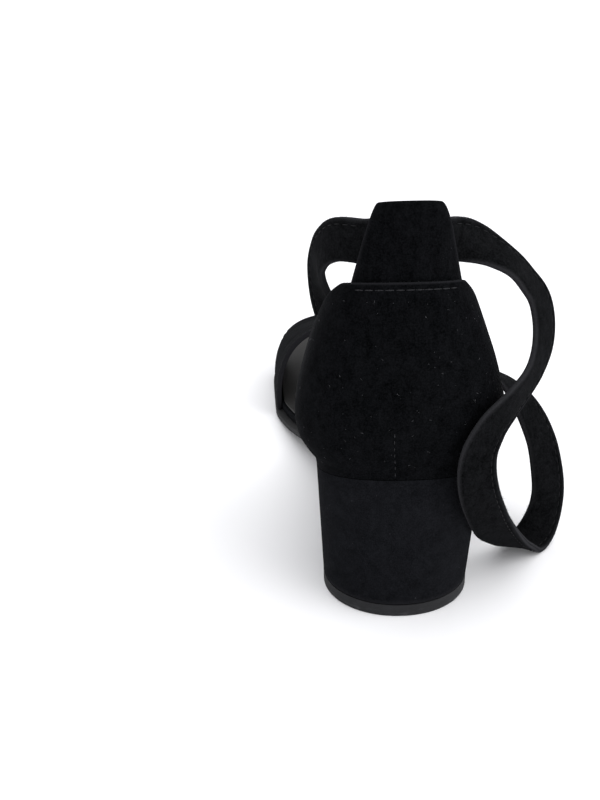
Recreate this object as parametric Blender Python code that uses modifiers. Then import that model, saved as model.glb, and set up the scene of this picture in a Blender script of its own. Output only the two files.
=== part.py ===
"""Lace-up heeled sandal for the right foot: black suede on a round-backed block heel.

Metres, +Z up, toes towards +Y, the little toe's side towards +X. While the shoe is built, Y starts
at the rearmost point of the heel seat and X at the heel's middle line. At the end the whole shoe is
moved so that the middle of its own box, ties left out, stands over the origin.
"""

import math
from typing import NamedTuple

import bmesh
import bpy
from mathutils import Vector

MM = 0.001

# Last and sole
SHOE_LENGTH = 236 * MM
BALL_WIDTH = 83 * MM
SEAT_WIDTH = 54 * MM
SEAT_ROUND = 22 * MM  # depth of the rounded back of the seat
SEAT_FULLNESS = 2.4  # 2 is an ellipse, more is squarer
TOE_ROUND = 50 * MM
TOE_FULLNESS = 2.3
SEAT_HEIGHT = 51 * MM  # floor to the upper's lower edge at the back
TREAD_END = 0.77  # share of the length where the toe starts to lift
TOE_SPRING = 7 * MM
OUTSOLE_THICKNESS = 2.8 * MM
OUTSOLE_RIM = 0.6 * MM  # how far the outsole stands out round the upper
BOARD_THICKNESS = 3.6 * MM
SOCK_THICKNESS = 1 * MM
SOCK_MARGIN = 0.9 * MM
EDGE_SOFTNESS = 0.5 * MM
JOINT_GAP = 0.3 * MM

# Heel
LIFT_HEIGHT = 4.4 * MM
HEEL_LENGTH = 54 * MM
HEEL_BASE_WIDTH = 49 * MM
HEEL_BASE_LENGTH = 44 * MM
HEEL_BASE_BEHIND = 1 * MM
HEEL_BASE_SHIFT = -0.7 * MM  # floor end's offset to the big toe's side
HEEL_BASE_FULLNESS = 2.05
BREAST_CORNER = 4 * MM

# Upper
COUNTER_WALL = 2.4 * MM
COUNTER_HEIGHT = 62 * MM  # seat to the counter's top edge at the back
WING_LENGTH = 108 * MM  # how far forward the counter's wings run
BAND_WALL = 2 * MM
BAND_HEIGHT = 45 * MM

# Tab at the top of the back, folded into a tunnel for the tie
TAB_HEIGHT = 84 * MM  # seat to the fold
TAB_TOP_WIDTH = 23 * MM
TAB_FOOT_WIDTH = 35.4 * MM
TAB_TUCK = 7 * MM  # how far its foot goes down behind the counter's edge
TAB_SIDE_ROOM = 0.8 * MM  # gap left in the counter at each side of the foot
TUCK_COVER = 1.2 * MM  # counter wall left in front of the tab's foot
CASING_LAYER = 1.1 * MM
TUNNEL_DEPTH = 3.6 * MM
TUNNEL_FULLNESS = 2.6

# Tie
TIE_WIDTH = 13 * MM
TIE_THICKNESS = 2.2 * MM
TIE_EDGE = 0.5 * MM
TIE_MIDDLE_LENGTH = 15 * MM
TIE_SPACING = 4.4 * MM
TIE_CORNER = 1.6 * MM

RIM_STEPS = 34


class SoleRow(NamedTuple):
    """One station of the sole's plan and profile."""

    along: float  # share of SHOE_LENGTH from the heel
    swing: float  # middle line's offset to the outer side, share of BALL_WIDTH
    seat: float  # half width's part that follows SEAT_WIDTH
    ball: float  # half width's part that follows BALL_WIDTH
    rise: float  # height over the forefoot, share of the heel's rise


class CounterRow(NamedTuple):
    """One level of the heel cup."""

    up: float  # share of COUNTER_HEIGHT over the seat
    inner: float  # width on the big toe's side, share of the seat's width
    outer: float  # width on the little toe's side, share of the seat's width
    behind: float  # how far the back stands out behind the seat, share of SEAT_WIDTH


class ToplineRow(NamedTuple):
    """One station of the counter's upper edge."""

    ahead: float  # share of WING_LENGTH from the back
    height: float  # share of COUNTER_HEIGHT over the sole there


class BandRow(NamedTuple):
    """One place across the toe band, from the big toe's side to the little toe's."""

    across: float  # share of the way over the foot
    rear: float  # rear edge, share of SHOE_LENGTH
    front: float  # front edge, share of SHOE_LENGTH


class BandHeightRow(NamedTuple):
    """Height of the toe band at one station of the foot."""

    along: float  # share of SHOE_LENGTH
    height: float  # share of BAND_HEIGHT


class RouteRow(NamedTuple):
    """One point of a tie, in millimetres, with the direction of its width."""

    x: float
    y: float
    z: float
    width_x: float
    width_y: float
    width_z: float


SOLE = (
    SoleRow(0.00, 0.000, 0.500, 0.000, 1.000),
    SoleRow(0.10, 0.000, 0.500, 0.000, 0.885),
    SoleRow(0.20, 0.000, 0.485, 0.000, 0.755),
    SoleRow(0.30, 0.004, 0.400, 0.045, 0.560),
    SoleRow(0.40, 0.006, 0.250, 0.165, 0.310),
    SoleRow(0.50, 0.000, 0.080, 0.350, 0.130),
    SoleRow(0.60, -0.010, 0.000, 0.475, 0.030),
    SoleRow(0.66, -0.018, 0.000, 0.500, 0.000),
    SoleRow(0.78, -0.045, 0.000, 0.490, 0.000),
    SoleRow(0.88, -0.075, 0.000, 0.460, 0.000),
    SoleRow(1.00, -0.110, 0.000, 0.420, 0.000),
)

COUNTER = (
    CounterRow(0.00, 1.000, 1.000, 0.000),
    CounterRow(0.04, 1.015, 1.015, 0.004),
    CounterRow(0.11, 1.110, 1.105, 0.028),
    CounterRow(0.20, 1.210, 1.205, 0.048),
    CounterRow(0.32, 1.250, 1.215, 0.058),
    CounterRow(0.45, 1.220, 1.160, 0.052),
    CounterRow(0.60, 1.130, 1.070, 0.032),
    CounterRow(0.75, 1.020, 0.950, 0.000),
    CounterRow(0.90, 0.900, 0.820, -0.036),
    CounterRow(1.00, 0.835, 0.730, -0.054),
    CounterRow(1.15, 0.765, 0.700, -0.066),
    CounterRow(1.40, 0.720, 0.690, -0.060),
)

TOPLINE = (
    ToplineRow(0.00, 1.00),
    ToplineRow(0.065, 1.00),
    ToplineRow(0.10, 0.975),
    ToplineRow(0.145, 0.93),
    ToplineRow(0.20, 0.86),
    ToplineRow(0.30, 0.73),
    ToplineRow(0.42, 0.52),
    ToplineRow(0.56, 0.335),
    ToplineRow(0.72, 0.185),
    ToplineRow(0.87, 0.095),
    ToplineRow(1.00, 0.040),
)

BAND = (
    BandRow(0.00, 0.645, 0.862),
    BandRow(0.25, 0.652, 0.884),
    BandRow(0.50, 0.664, 0.893),
    BandRow(0.75, 0.640, 0.862),
    BandRow(1.00, 0.596, 0.802),
)

BAND_HEIGHTS = (
    BandHeightRow(0.58, 1.02),
    BandHeightRow(0.66, 0.92),
    BandHeightRow(0.76, 0.77),
    BandHeightRow(0.86, 0.60),
    BandHeightRow(0.92, 0.52),
)
BAND_FULLNESS = 2.35
BAND_RIDGE = -0.07  # how far the ridge leans to the big toe, share of BALL_WIDTH

TIE_RIGHT = (
    RouteRow(7.7, 9.5, 123.5, 0.0, 0.02, 1.0),
    RouteRow(9.4, 10.6, 123.2, 0.0, 0.04, 1.0),
    RouteRow(11.5, 12.9, 122.4, 0.0, 0.02, 1.0),
    RouteRow(15.0, 16.4, 121.6, -0.04, 0.14, 0.98),
    RouteRow(20.4, 17.9, 120.0, 0.02, 0.60, 0.80),
    RouteRow(26.5, 18.6, 117.0, 0.22, 0.86, 0.46),
    RouteRow(32.4, 19.6, 112.8, 0.38, 0.90, 0.14),
    RouteRow(37.2, 20.6, 107.4, 0.48, 0.87, 0.00),
    RouteRow(41.2, 21.0, 101.6, 0.58, 0.81, -0.10),
    RouteRow(43.2, 20.5, 95.0, 0.61, 0.75, -0.22),
    RouteRow(43.0, 18.0, 88.0, 0.59, 0.74, -0.30),
    RouteRow(40.5, 14.0, 82.0, 0.52, 0.76, -0.38),
    RouteRow(36.4, 9.0, 77.6, 0.44, 0.72, -0.54),
    RouteRow(31.0, 3.6, 73.6, 0.46, 0.60, -0.64),
    RouteRow(25.0, -0.6, 68.4, 0.66, 0.48, -0.56),
    RouteRow(21.6, -1.9, 61.5, 0.84, 0.40, -0.36),
    RouteRow(21.1, -1.5, 54.4, 0.92, 0.34, -0.20),
    RouteRow(22.9, 1.0, 45.0, 0.95, 0.30, -0.08),
    RouteRow(26.6, 5.6, 34.6, 0.95, 0.30, -0.02),
    RouteRow(31.4, 13.2, 23.8, 0.96, 0.26, -0.06),
    RouteRow(37.6, 22.6, 13.4, 0.98, 0.10, -0.14),
    RouteRow(43.4, 30.8, 5.6, 0.98, -0.12, -0.08),
    RouteRow(48.2, 36.2, 2.3, 0.96, -0.26, -0.06),
    RouteRow(53.2, 40.8, 4.2, 0.99, -0.04, -0.04),
    RouteRow(56.6, 44.4, 10.2, 0.98, 0.14, -0.08),
    RouteRow(57.6, 45.8, 19.0, 0.94, 0.30, -0.16),
    RouteRow(56.4, 47.0, 28.6, 0.90, 0.36, -0.22),
    RouteRow(54.0, 48.4, 38.4, 0.86, 0.44, -0.26),
    RouteRow(50.0, 50.6, 47.4, 0.80, 0.54, -0.22),
    RouteRow(45.0, 54.0, 54.8, 0.66, 0.68, -0.28),
    RouteRow(39.2, 58.4, 59.4, 0.42, 0.82, -0.38),
    RouteRow(32.4, 62.8, 60.2, 0.10, 0.90, -0.42),
    RouteRow(25.6, 67.0, 55.6, 0.10, 0.90, -0.42),
    RouteRow(20.0, 72.8, 46.4, 0.34, 0.84, -0.42),
    RouteRow(16.0, 81.4, 37.0, 0.70, 0.60, -0.36),
    RouteRow(13.0, 92.2, 29.0, 0.94, 0.26, -0.14),
    RouteRow(11.0, 105.0, 21.6, 0.99, 0.10, 0.00),
    RouteRow(9.6, 120.0, 16.0, 1.00, 0.06, 0.00),
    RouteRow(8.8, 136.0, 12.5, 1.00, 0.04, 0.00),
)

TIE_LEFT = (
    RouteRow(-7.5, 9.0, 123.6, 0.0, 0.02, 1.0),
    RouteRow(-9.8, 10.1, 123.2, 0.0, 0.06, 1.0),
    RouteRow(-12.7, 12.6, 122.5, 0.0, 0.12, 0.99),
    RouteRow(-16.2, 15.8, 122.2, 0.0, 0.10, 1.0),
    RouteRow(-19.8, 19.8, 121.4, 0.04, 0.14, 0.99),
    RouteRow(-23.0, 25.0, 118.6, 0.06, 0.22, 0.97),
    RouteRow(-25.2, 31.4, 113.0, -0.10, 0.34, 0.93),
    RouteRow(-25.0, 38.8, 103.6, -0.44, 0.36, 0.82),
    RouteRow(-22.0, 46.2, 91.4, -0.78, 0.30, 0.54),
    RouteRow(-17.8, 53.8, 77.8, -0.94, 0.18, 0.28),
    RouteRow(-14.8, 62.0, 63.4, -0.99, 0.08, 0.12),
    RouteRow(-13.2, 71.6, 50.4, -1.0, 0.02, 0.04),
    RouteRow(-12.8, 82.6, 38.8, -1.0, 0.0, 0.0),
    RouteRow(-12.8, 94.6, 28.8, -1.0, 0.0, 0.0),
    RouteRow(-13.0, 107.6, 20.9, -1.0, 0.0, 0.0),
    RouteRow(-13.4, 122.0, 15.6, -1.0, 0.0, 0.0),
    RouteRow(-14.0, 137.0, 12.4, -1.0, 0.0, 0.0),
)


def smooth_value(places, values, at):
    """Value between the given ones, on a curve that never swings past them."""
    at = min(max(at, places[0]), places[-1])
    slopes = [(b - a) / (q - p) for p, q, a, b in zip(places, places[1:], values, values[1:])]
    inner = [2 * a * b / (a + b) if a * b > 0 else 0.0 for a, b in zip(slopes, slopes[1:])]
    tangents = [slopes[0], *inner, slopes[-1]]
    i = max(k for k in range(len(places) - 1) if at >= places[k])
    step = places[i + 1] - places[i]
    t = (at - places[i]) / step
    start = values[i] * (1 + 2 * t) * (1 - t) ** 2 + tangents[i] * step * t * (1 - t) ** 2
    end = values[i + 1] * (3 - 2 * t) * t**2 - tangents[i + 1] * step * (1 - t) * t**2
    return start + end


def read(rows, column, at):
    """A table's column at a place between its rows, by the rows' first column."""
    return smooth_value([row[0] for row in rows], [getattr(row, column) for row in rows], at)


def blend(start, end, share):
    return start + (end - start) * share


def soft_step(share):
    share = min(max(share, 0.0), 1.0)
    return share * share * (3 - 2 * share)


def rounded_end(distance, depth, fullness):
    """Share of the full width at a distance from a rounded end."""
    if distance >= depth:
        return 1.0
    return (1 - (1 - max(distance, 0.0) / depth) ** fullness) ** (1 / fullness)


def forefoot_height():
    return OUTSOLE_THICKNESS + JOINT_GAP


def sole_height(y):
    """Height of the plane that the upper and the board stand on."""
    along = y / SHOE_LENGTH
    height = blend(forefoot_height(), SEAT_HEIGHT, read(SOLE, "rise", along))
    spring = max(min(along, 1.0) - TREAD_END, 0.0) / (1 - TREAD_END)
    return height + TOE_SPRING * spring**2


def swing(y):
    return read(SOLE, "swing", y / SHOE_LENGTH) * BALL_WIDTH


def half_width(y):
    """Half width of the lasted shoe at its lower edge."""
    along = y / SHOE_LENGTH
    base = read(SOLE, "seat", along) * SEAT_WIDTH + read(SOLE, "ball", along) * BALL_WIDTH
    heel = rounded_end(y, SEAT_ROUND, SEAT_FULLNESS)
    return base * heel * rounded_end(SHOE_LENGTH - y, TOE_ROUND, TOE_FULLNESS)


def station(turn):
    """Distance from the heel for a share of the rim's half turn, closer together at both ends."""
    return SHOE_LENGTH * (1 - math.cos(math.pi * turn)) / 2


def turn_at(y):
    return math.acos(1 - 2 * y / SHOE_LENGTH) / math.pi


def rim_point(side, turn):
    """Point of the lower edge; past either end it goes on round the other side."""
    if turn < 0:
        side, turn = -side, -turn
    elif turn > 1:
        side, turn = -side, 2 - turn
    y = station(turn)
    return Vector((swing(y) + side * half_width(y), y, 0))


def rim_inset(side, turn, inset):
    """Point at a distance inside the lower edge, square to it."""
    nudge = 0.004
    run = rim_point(side, turn + nudge) - rim_point(side, turn - nudge)
    inward = Vector((-run.y, run.x, 0)) * side
    return rim_point(side, turn) + inward.normalized() * inset


def rim_ring(inset, first, last):
    """Closed ring in plan: start, outer side, end, inner side back again."""
    turns = [blend(first, last, i / RIM_STEPS) for i in range(RIM_STEPS + 1)]
    insets = [inset(station(turn)) for turn in turns]
    outer = [rim_inset(1, turn, gap) for turn, gap in zip(turns, insets)]
    inner = [rim_inset(-1, turn, gap) for turn, gap in zip(turns, insets)]
    start = (outer[0] + inner[0]) / 2
    end = (outer[-1] + inner[-1]) / 2
    if first == 0:
        outer, inner = outer[1:], inner[1:]
    if last == 1:
        outer, inner = outer[:-1], inner[:-1]
    return [start, *outer, end, *reversed(inner)]


def lifted(ring, height):
    return [Vector((point.x, point.y, height(point.y))) for point in ring]


def material(name, color, roughness, metallic=0.0):
    made = bpy.data.materials.new(name)
    made.use_nodes = True
    shader = made.node_tree.nodes["Principled BSDF"]
    shader.inputs["Base Color"].default_value = (*color, 1)
    shader.inputs["Roughness"].default_value = roughness
    shader.inputs["Metallic"].default_value = metallic
    made.diffuse_color = (*color, 1)
    return made


def add_object(name, mesh, collection, finish=None):
    data = bpy.data.meshes.new(name)
    mesh.to_mesh(data)
    mesh.free()
    made = bpy.data.objects.new(name, data)
    collection.objects.link(made)
    if finish:
        data.materials.append(finish)
        data.shade_smooth()
        data.set_sharp_from_angle(angle=math.radians(35))
    else:
        made.hide_render = True
        made.display_type = "WIRE"
    return made


def skin(mesh, rings):
    """Side faces between neighbouring rings of equally many points."""
    loops = [[mesh.verts.new(point) for point in ring] for ring in rings]
    for near, far in zip(loops, loops[1:]):
        for i, corner in enumerate(near):
            j = (i + 1) % len(near)
            mesh.faces.new((corner, near[j], far[j], far[i]))
    return loops


def cap_across(mesh, loop):
    """Closes a ring made by rim_ring with faces that run straight across."""
    count = len(loop)
    middle = (count - 2) // 2
    mesh.faces.new((loop[0], loop[1], loop[-1]))
    for i in range(1, middle):
        mesh.faces.new((loop[i], loop[i + 1], loop[count - i - 1], loop[count - i]))
    mesh.faces.new((loop[middle], loop[middle + 1], loop[middle + 2]))


def stacked(name, rings, collection, finish):
    """Solid through rings of the plan, one over another."""
    mesh = bmesh.new()
    loops = skin(mesh, rings)
    cap_across(mesh, loops[0])
    cap_across(mesh, loops[-1])
    bmesh.ops.recalc_face_normals(mesh, faces=mesh.faces)
    return add_object(name, mesh, collection, finish)


def cap_ladder(mesh, loop):
    """Closes a section with faces between its first and its second half, like rungs."""
    count = len(loop)
    for i in range(count // 2 - 1):
        mesh.faces.new((loop[i], loop[i + 1], loop[count - i - 2], loop[count - i - 1]))


def lofted(name, sections, collection, finish=None):
    """Solid through sections of an even number of points, closed at both ends."""
    mesh = bmesh.new()
    loops = skin(mesh, sections)
    cap_ladder(mesh, loops[0])
    cap_ladder(mesh, loops[-1])
    bmesh.ops.recalc_face_normals(mesh, faces=mesh.faces)
    return add_object(name, mesh, collection, finish)


def walled(name, columns, wall, collection, finish):
    """Shell of even wall inwards from an open surface given as columns of points."""
    mesh = bmesh.new()
    grid = [[mesh.verts.new(point) for point in column] for column in columns]
    for near, far in zip(grid, grid[1:]):
        for j in range(len(near) - 1):
            mesh.faces.new((near[j], far[j], far[j + 1], near[j + 1]))
    made = add_object(name, mesh, collection, finish)
    solid = made.modifiers.new("Wall", "SOLIDIFY")
    solid.thickness = wall
    solid.offset = -1
    solid.use_even_offset = True
    return made


def cut(piece, cutter):
    boolean = piece.modifiers.new("Cut", "BOOLEAN")
    boolean.operation = "DIFFERENCE"
    boolean.solver = "EXACT"
    boolean.object = cutter


def slab(name, inset, bottom, top, first, last, collection, finish):
    """Plate with softened edges between two heights over the sole's plane."""

    def ring(extra, share):
        outline = rim_ring(lambda y: inset(y) + extra, first, last)
        return lifted(outline, lambda y: sole_height(y) + blend(bottom, top, share))

    edge = EDGE_SOFTNESS / (top - bottom)
    levels = ((EDGE_SOFTNESS, 0), (0, edge), (0, 1 - edge), (EDGE_SOFTNESS, 1))
    return stacked(name, [ring(*level) for level in levels], collection, finish)


def board_inset(y):
    """Room for the upper's wall round the board."""
    start, end = WING_LENGTH, read(BAND, "rear", 1) * SHOE_LENGTH
    wall = blend(COUNTER_WALL, BAND_WALL, soft_step((y - start) / (end - start)))
    return wall + JOINT_GAP


def make_outsole(collection, finish):
    rear = HEEL_LENGTH + JOINT_GAP
    low = -forefoot_height()
    return slab(
        "outsole",
        lambda y: -OUTSOLE_RIM,
        low,
        -JOINT_GAP,
        turn_at(rear),
        1,
        collection,
        finish,
    )


def make_board(collection, finish):
    return slab("insole_board", board_inset, 0, BOARD_THICKNESS, 0, 1, collection, finish)


def make_sock(collection, finish):
    bottom = BOARD_THICKNESS + JOINT_GAP
    top = bottom + SOCK_THICKNESS
    return slab(
        "sock", lambda y: board_inset(y) + SOCK_MARGIN, bottom, top, 0, 1, collection, finish
    )


def heel_ring(level, inset):
    """Plan of the heel at a share of its height, from its floor end to the seat."""
    length = blend(HEEL_BASE_LENGTH, HEEL_LENGTH, level) - 2 * inset
    fullness = blend(HEEL_BASE_FULLNESS, SEAT_FULLNESS, level)
    scale = blend(HEEL_BASE_WIDTH / SEAT_WIDTH, 1, level)
    back = blend(-HEEL_BASE_BEHIND, 0, level) + inset
    middle = blend(HEEL_BASE_SHIFT, 0, level)
    outer = []
    steps, corner_steps = 16, 3
    for i in range(1, steps + 1):
        share = (1 - math.cos(math.pi / 2 * i / steps)) * (1 - BREAST_CORNER / length)
        y = share * length
        seat_y = share * HEEL_LENGTH
        base = read(SOLE, "seat", seat_y / SHOE_LENGTH) * SEAT_WIDTH * scale - inset
        outer.append(Vector((base * rounded_end(y, SEAT_ROUND, fullness), back + y, 0)))
    corner = outer[-1]
    for i in range(1, corner_steps + 1):
        angle = math.pi / 2 * i / corner_steps
        x = corner.x - BREAST_CORNER * (1 - math.cos(angle))
        outer.append(Vector((x, corner.y + BREAST_CORNER * math.sin(angle), 0)))
    inner = [Vector((-point.x, point.y, 0)) for point in outer]
    start = Vector((0, back, 0))
    end = Vector((0, outer[-1].y, 0))
    shift = Vector((middle, 0, 0))
    return [point + shift for point in (start, *outer, end, *reversed(inner))]


def make_heel(collection, finish):
    foot = LIFT_HEIGHT + JOINT_GAP

    def ring(level, inset):
        outline = heel_ring(level, inset)
        return lifted(outline, lambda y: blend(foot, sole_height(y) - JOINT_GAP, level))

    levels = ((0, EDGE_SOFTNESS / 2), (0.02, 0), (0.25, 0), (0.5, 0), (0.75, 0), (1, 0))
    return stacked("heel_block", [ring(*level) for level in levels], collection, finish)


def make_lift(collection, finish):
    levels = ((0, EDGE_SOFTNESS), (EDGE_SOFTNESS, 0), (LIFT_HEIGHT, 0))
    rings = [lifted(heel_ring(0, inset), lambda y, z=z: z) for z, inset in levels]
    return stacked("top_lift", rings, collection, finish)


def cup_spread(side, up):
    """Width of the heel cup at a height on one side, as a share of the seat's."""
    return read(COUNTER, "outer" if side > 0 else "inner", up / COUNTER_HEIGHT)


def cup_point(side, y, up):
    """Point of the counter's outer face over the lower edge's point at y."""
    spread = cup_spread(side, up) - 1
    behind = read(COUNTER, "behind", up / COUNTER_HEIGHT) * SEAT_WIDTH
    fade = 1 - soft_step((y - SEAT_ROUND) / (WING_LENGTH - SEAT_ROUND))
    near = 1 - soft_step(y / (2 * SEAT_ROUND))
    x = side * half_width(y) * (1 + spread * fade)
    return Vector((swing(y) + x, y - behind * near, sole_height(y) + up))


def make_counter(collection, finish):
    levels = (0, 0.04, 0.10, 0.17, 0.25, 0.34, 0.44, 0.54, 0.64, 0.74, 0.83, 0.92, 1)
    last = turn_at(WING_LENGTH)
    count = 18
    columns = []
    for i in range(-count, count + 1):
        side = 1 if i > 0 else -1
        y = station(last * abs(i) / count)
        top = read(TOPLINE, "height", y / WING_LENGTH) * COUNTER_HEIGHT
        columns.append([cup_point(side, y, level * top) for level in levels])
    return walled("counter", columns, COUNTER_WALL, collection, finish)


def back_point(across, up, depth):
    """Point at a depth inside the counter's outer face, near the middle of the back."""

    def outer_face(x, height):
        share = min(abs(x) / cup_spread(x, height) / (SEAT_WIDTH / 2), 1)
        reach = (1 - share**SEAT_FULLNESS) ** (1 / SEAT_FULLNESS)
        y = SEAT_ROUND * (1 - reach)
        behind = read(COUNTER, "behind", height / COUNTER_HEIGHT) * SEAT_WIDTH
        return Vector((x, y - behind, sole_height(y) + height))

    nudge = 0.2 * MM
    sideways = outer_face(across + nudge, up) - outer_face(across - nudge, up)
    upwards = outer_face(across, up + nudge) - outer_face(across, up - nudge)
    inward = upwards.cross(sideways).normalized()
    return outer_face(across, up) + inward * depth


def tab_half_width(up):
    foot = COUNTER_HEIGHT
    share = max(up - foot, 0) / (TAB_HEIGHT - foot)
    return blend(TAB_FOOT_WIDTH, TAB_TOP_WIDTH, share) / 2


def tunnel_middle():
    """Height and depth of the middle of the tab's tunnel."""
    low = COUNTER_HEIGHT + CASING_LAYER
    high = TAB_HEIGHT - CASING_LAYER
    return (low + high) / 2, TUCK_COVER + JOINT_GAP + CASING_LAYER + TUNNEL_DEPTH / 2


def tunnel_half_height():
    return (TAB_HEIGHT - COUNTER_HEIGHT) / 2 - CASING_LAYER


def oval(share, half_height, half_depth, fullness):
    """Point of an upright oval as height and depth from its middle; share 0 is the outside."""
    angle = 2 * math.pi * share
    across, up = math.cos(angle), math.sin(angle)
    depth = -math.copysign(abs(across) ** (2 / fullness), across) * half_depth
    return math.copysign(abs(up) ** (2 / fullness), up) * half_height, depth


def casing_profile(grow):
    """Cross-section of the folded tab as heights and depths, grown on every side."""
    middle_up, middle_depth = tunnel_middle()
    half_height = tunnel_half_height() + CASING_LAYER + grow
    half_depth = TUNNEL_DEPTH / 2 + CASING_LAYER + grow
    outer = middle_depth - half_depth
    inner_foot = outer + 2 * CASING_LAYER + 2 * grow
    foot = COUNTER_HEIGHT - TAB_TUCK - grow
    tucked = (foot + COUNTER_HEIGHT) / 2
    points = [(foot, outer), (tucked, outer), (COUNTER_HEIGHT, outer)]
    steps, turned = 13, 0.68  # up the outside, over the fold and down the inside
    for i in range(steps + 1):
        up, depth = oval(turned * i / steps, half_height, half_depth, TUNNEL_FULLNESS)
        points.append((middle_up + up, middle_depth + depth))
    points.append((COUNTER_HEIGHT - CASING_LAYER, inner_foot))
    points.append((tucked, inner_foot))
    points.append((foot, inner_foot))
    return points


def tunnel_profile():
    middle_up, middle_depth = tunnel_middle()
    ovals = [
        oval(i / 18, tunnel_half_height(), TUNNEL_DEPTH / 2, TUNNEL_FULLNESS) for i in range(18)
    ]
    return [(middle_up + up, middle_depth + depth) for up, depth in ovals]


def tab_sections(profile, extra, steps=12):
    """Sections of a form that follows the tab from side to side and may stand out past it."""
    widths = [tab_half_width(up) for up, _ in profile]
    places = [(blend(-1, 1, i / steps), 0) for i in range(steps + 1)]
    if extra:
        places = [(-1, -extra), *places, (1, extra)]
    return [
        [
            back_point(share * width + beyond, up, depth)
            for width, (up, depth) in zip(widths, profile)
        ]
        for share, beyond in places
    ]


def make_casing(pieces, cutters, finish, counter):
    casing = lofted("tab_casing", tab_sections(casing_profile(0), 0), pieces, finish)
    cut(casing, lofted("tunnel", tab_sections(tunnel_profile(), MM), cutters))
    seat = tab_sections(casing_profile(JOINT_GAP), TAB_SIDE_ROOM)
    cut(counter, lofted("tab_seat", seat, cutters))


def make_band(collection, finish):
    across_steps, along_steps = 26, 9
    columns = []
    for i in range(across_steps + 1):
        share = i / across_steps
        rear = read(BAND, "rear", share) * SHOE_LENGTH
        front = read(BAND, "front", share) * SHOE_LENGTH
        angle = math.pi * share
        side = -math.copysign(abs(math.cos(angle)) ** (2 / BAND_FULLNESS), math.cos(angle))
        rise = math.sin(angle) ** (2 / BAND_FULLNESS) if 0 < i < across_steps else 0
        column = []
        for j in range(along_steps + 1):
            y = blend(rear, front, j / along_steps)
            x = swing(y) + side * half_width(y) + BAND_RIDGE * BALL_WIDTH * rise**2
            height = read(BAND_HEIGHTS, "height", y / SHOE_LENGTH) * BAND_HEIGHT
            column.append(Vector((x, y, sole_height(y) + rise * height)))
        columns.append(column)
    return walled("toe_band", columns, BAND_WALL, collection, finish)


def flat_section(centre, run, width_direction, width):
    """Eight corners of a flat strap's section with softened edges."""
    across = (width_direction - run * width_direction.dot(run)).normalized()
    through = run.cross(across)
    half, thick = width / 2, TIE_THICKNESS / 2
    soft = TIE_EDGE
    corners = (
        (half, thick - soft),
        (half - soft, thick),
        (soft - half, thick),
        (-half, thick - soft),
        (-half, soft - thick),
        (soft - half, -thick),
        (half - soft, -thick),
        (half, soft - thick),
    )
    return [centre + across * a + through * b for a, b in corners]


def strap_sections(points, directions, end_corner):
    """Sections of a strap along its points, with corners cut off at its far end."""
    runs = []
    for i in range(len(points)):
        runs.append((points[min(i + 1, len(points) - 1)] - points[max(i - 1, 0)]).normalized())
    sections = [
        flat_section(point, run, direction, TIE_WIDTH)
        for point, run, direction in zip(points, runs, directions)
    ]
    if end_corner:
        shoulder = points[-1] - runs[-1] * end_corner
        sections[-1] = flat_section(points[-1], runs[-1], directions[-1], TIE_WIDTH - 2 * end_corner)
        sections.insert(-1, flat_section(shoulder, runs[-1], directions[-1], TIE_WIDTH))
    return sections


def smooth_route(rows):
    """Even points and width directions on a smooth curve through a route's rows."""
    knots = [Vector(row[:3]) * MM for row in rows]
    widths = [Vector(row[3:]).normalized() for row in rows]
    places = [0.0]
    for near, far in zip(knots, knots[1:]):
        places.append(places[-1] + (far - near).length)

    def tangent(values, i):
        before, after = max(i - 1, 0), min(i + 1, len(values) - 1)
        return (values[after] - values[before]) / (places[after] - places[before])

    def on_curve(values, at):
        i = max(k for k in range(len(places) - 1) if at >= places[k])
        step = places[i + 1] - places[i]
        t = (at - places[i]) / step
        start = values[i] * ((1 + 2 * t) * (1 - t) ** 2)
        end = values[i + 1] * ((3 - 2 * t) * t**2)
        leave = tangent(values, i) * (step * t * (1 - t) ** 2)
        arrive = tangent(values, i + 1) * (step * (1 - t) * t**2)
        return start + end + leave - arrive

    count = math.ceil(places[-1] / TIE_SPACING)
    stops = [places[-1] * i / count for i in range(count + 1)]
    points = [on_curve(knots, stop) for stop in stops]
    return points, [on_curve(widths, stop).normalized() for stop in stops]


def make_tie(name, rows, collection, finish):
    points, directions = smooth_route(rows)
    return lofted(name, strap_sections(points, directions, TIE_CORNER), collection, finish)


def make_tie_middle(collection, finish):
    up, depth = tunnel_middle()
    steps = 6
    places = [TIE_MIDDLE_LENGTH * (i / steps - 0.5) for i in range(steps + 1)]
    points = [back_point(x, up, depth) for x in places]
    directions = [back_point(x, up + MM, depth) - back_point(x, up, depth) for x in places]
    return lofted("tie_middle", strap_sections(points, directions, 0), collection, finish)


def stand_on_origin(pieces, cutters, cords):
    """Moves everything so that the shoe's own box stands centred on the origin."""
    bpy.context.view_layer.update()
    graph = bpy.context.evaluated_depsgraph_get()
    corners = []
    for piece in pieces.objects:
        if piece not in cords:
            shape = piece.evaluated_get(graph)
            corners += [shape.matrix_world @ Vector(corner) for corner in shape.bound_box]
    shift = Vector((0, 0, 0))
    for axis in (0, 1):
        values = [corner[axis] for corner in corners]
        shift[axis] = -(min(values) + max(values)) / 2
    shoe = bpy.data.objects.new("sandal", None)
    pieces.objects.link(shoe)
    for piece in [*pieces.objects, *cutters.objects]:
        if piece != shoe:
            piece.parent = shoe
    shoe.location = shift
    print("moved by", [round(value / MM, 3) for value in shift], "mm")


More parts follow.
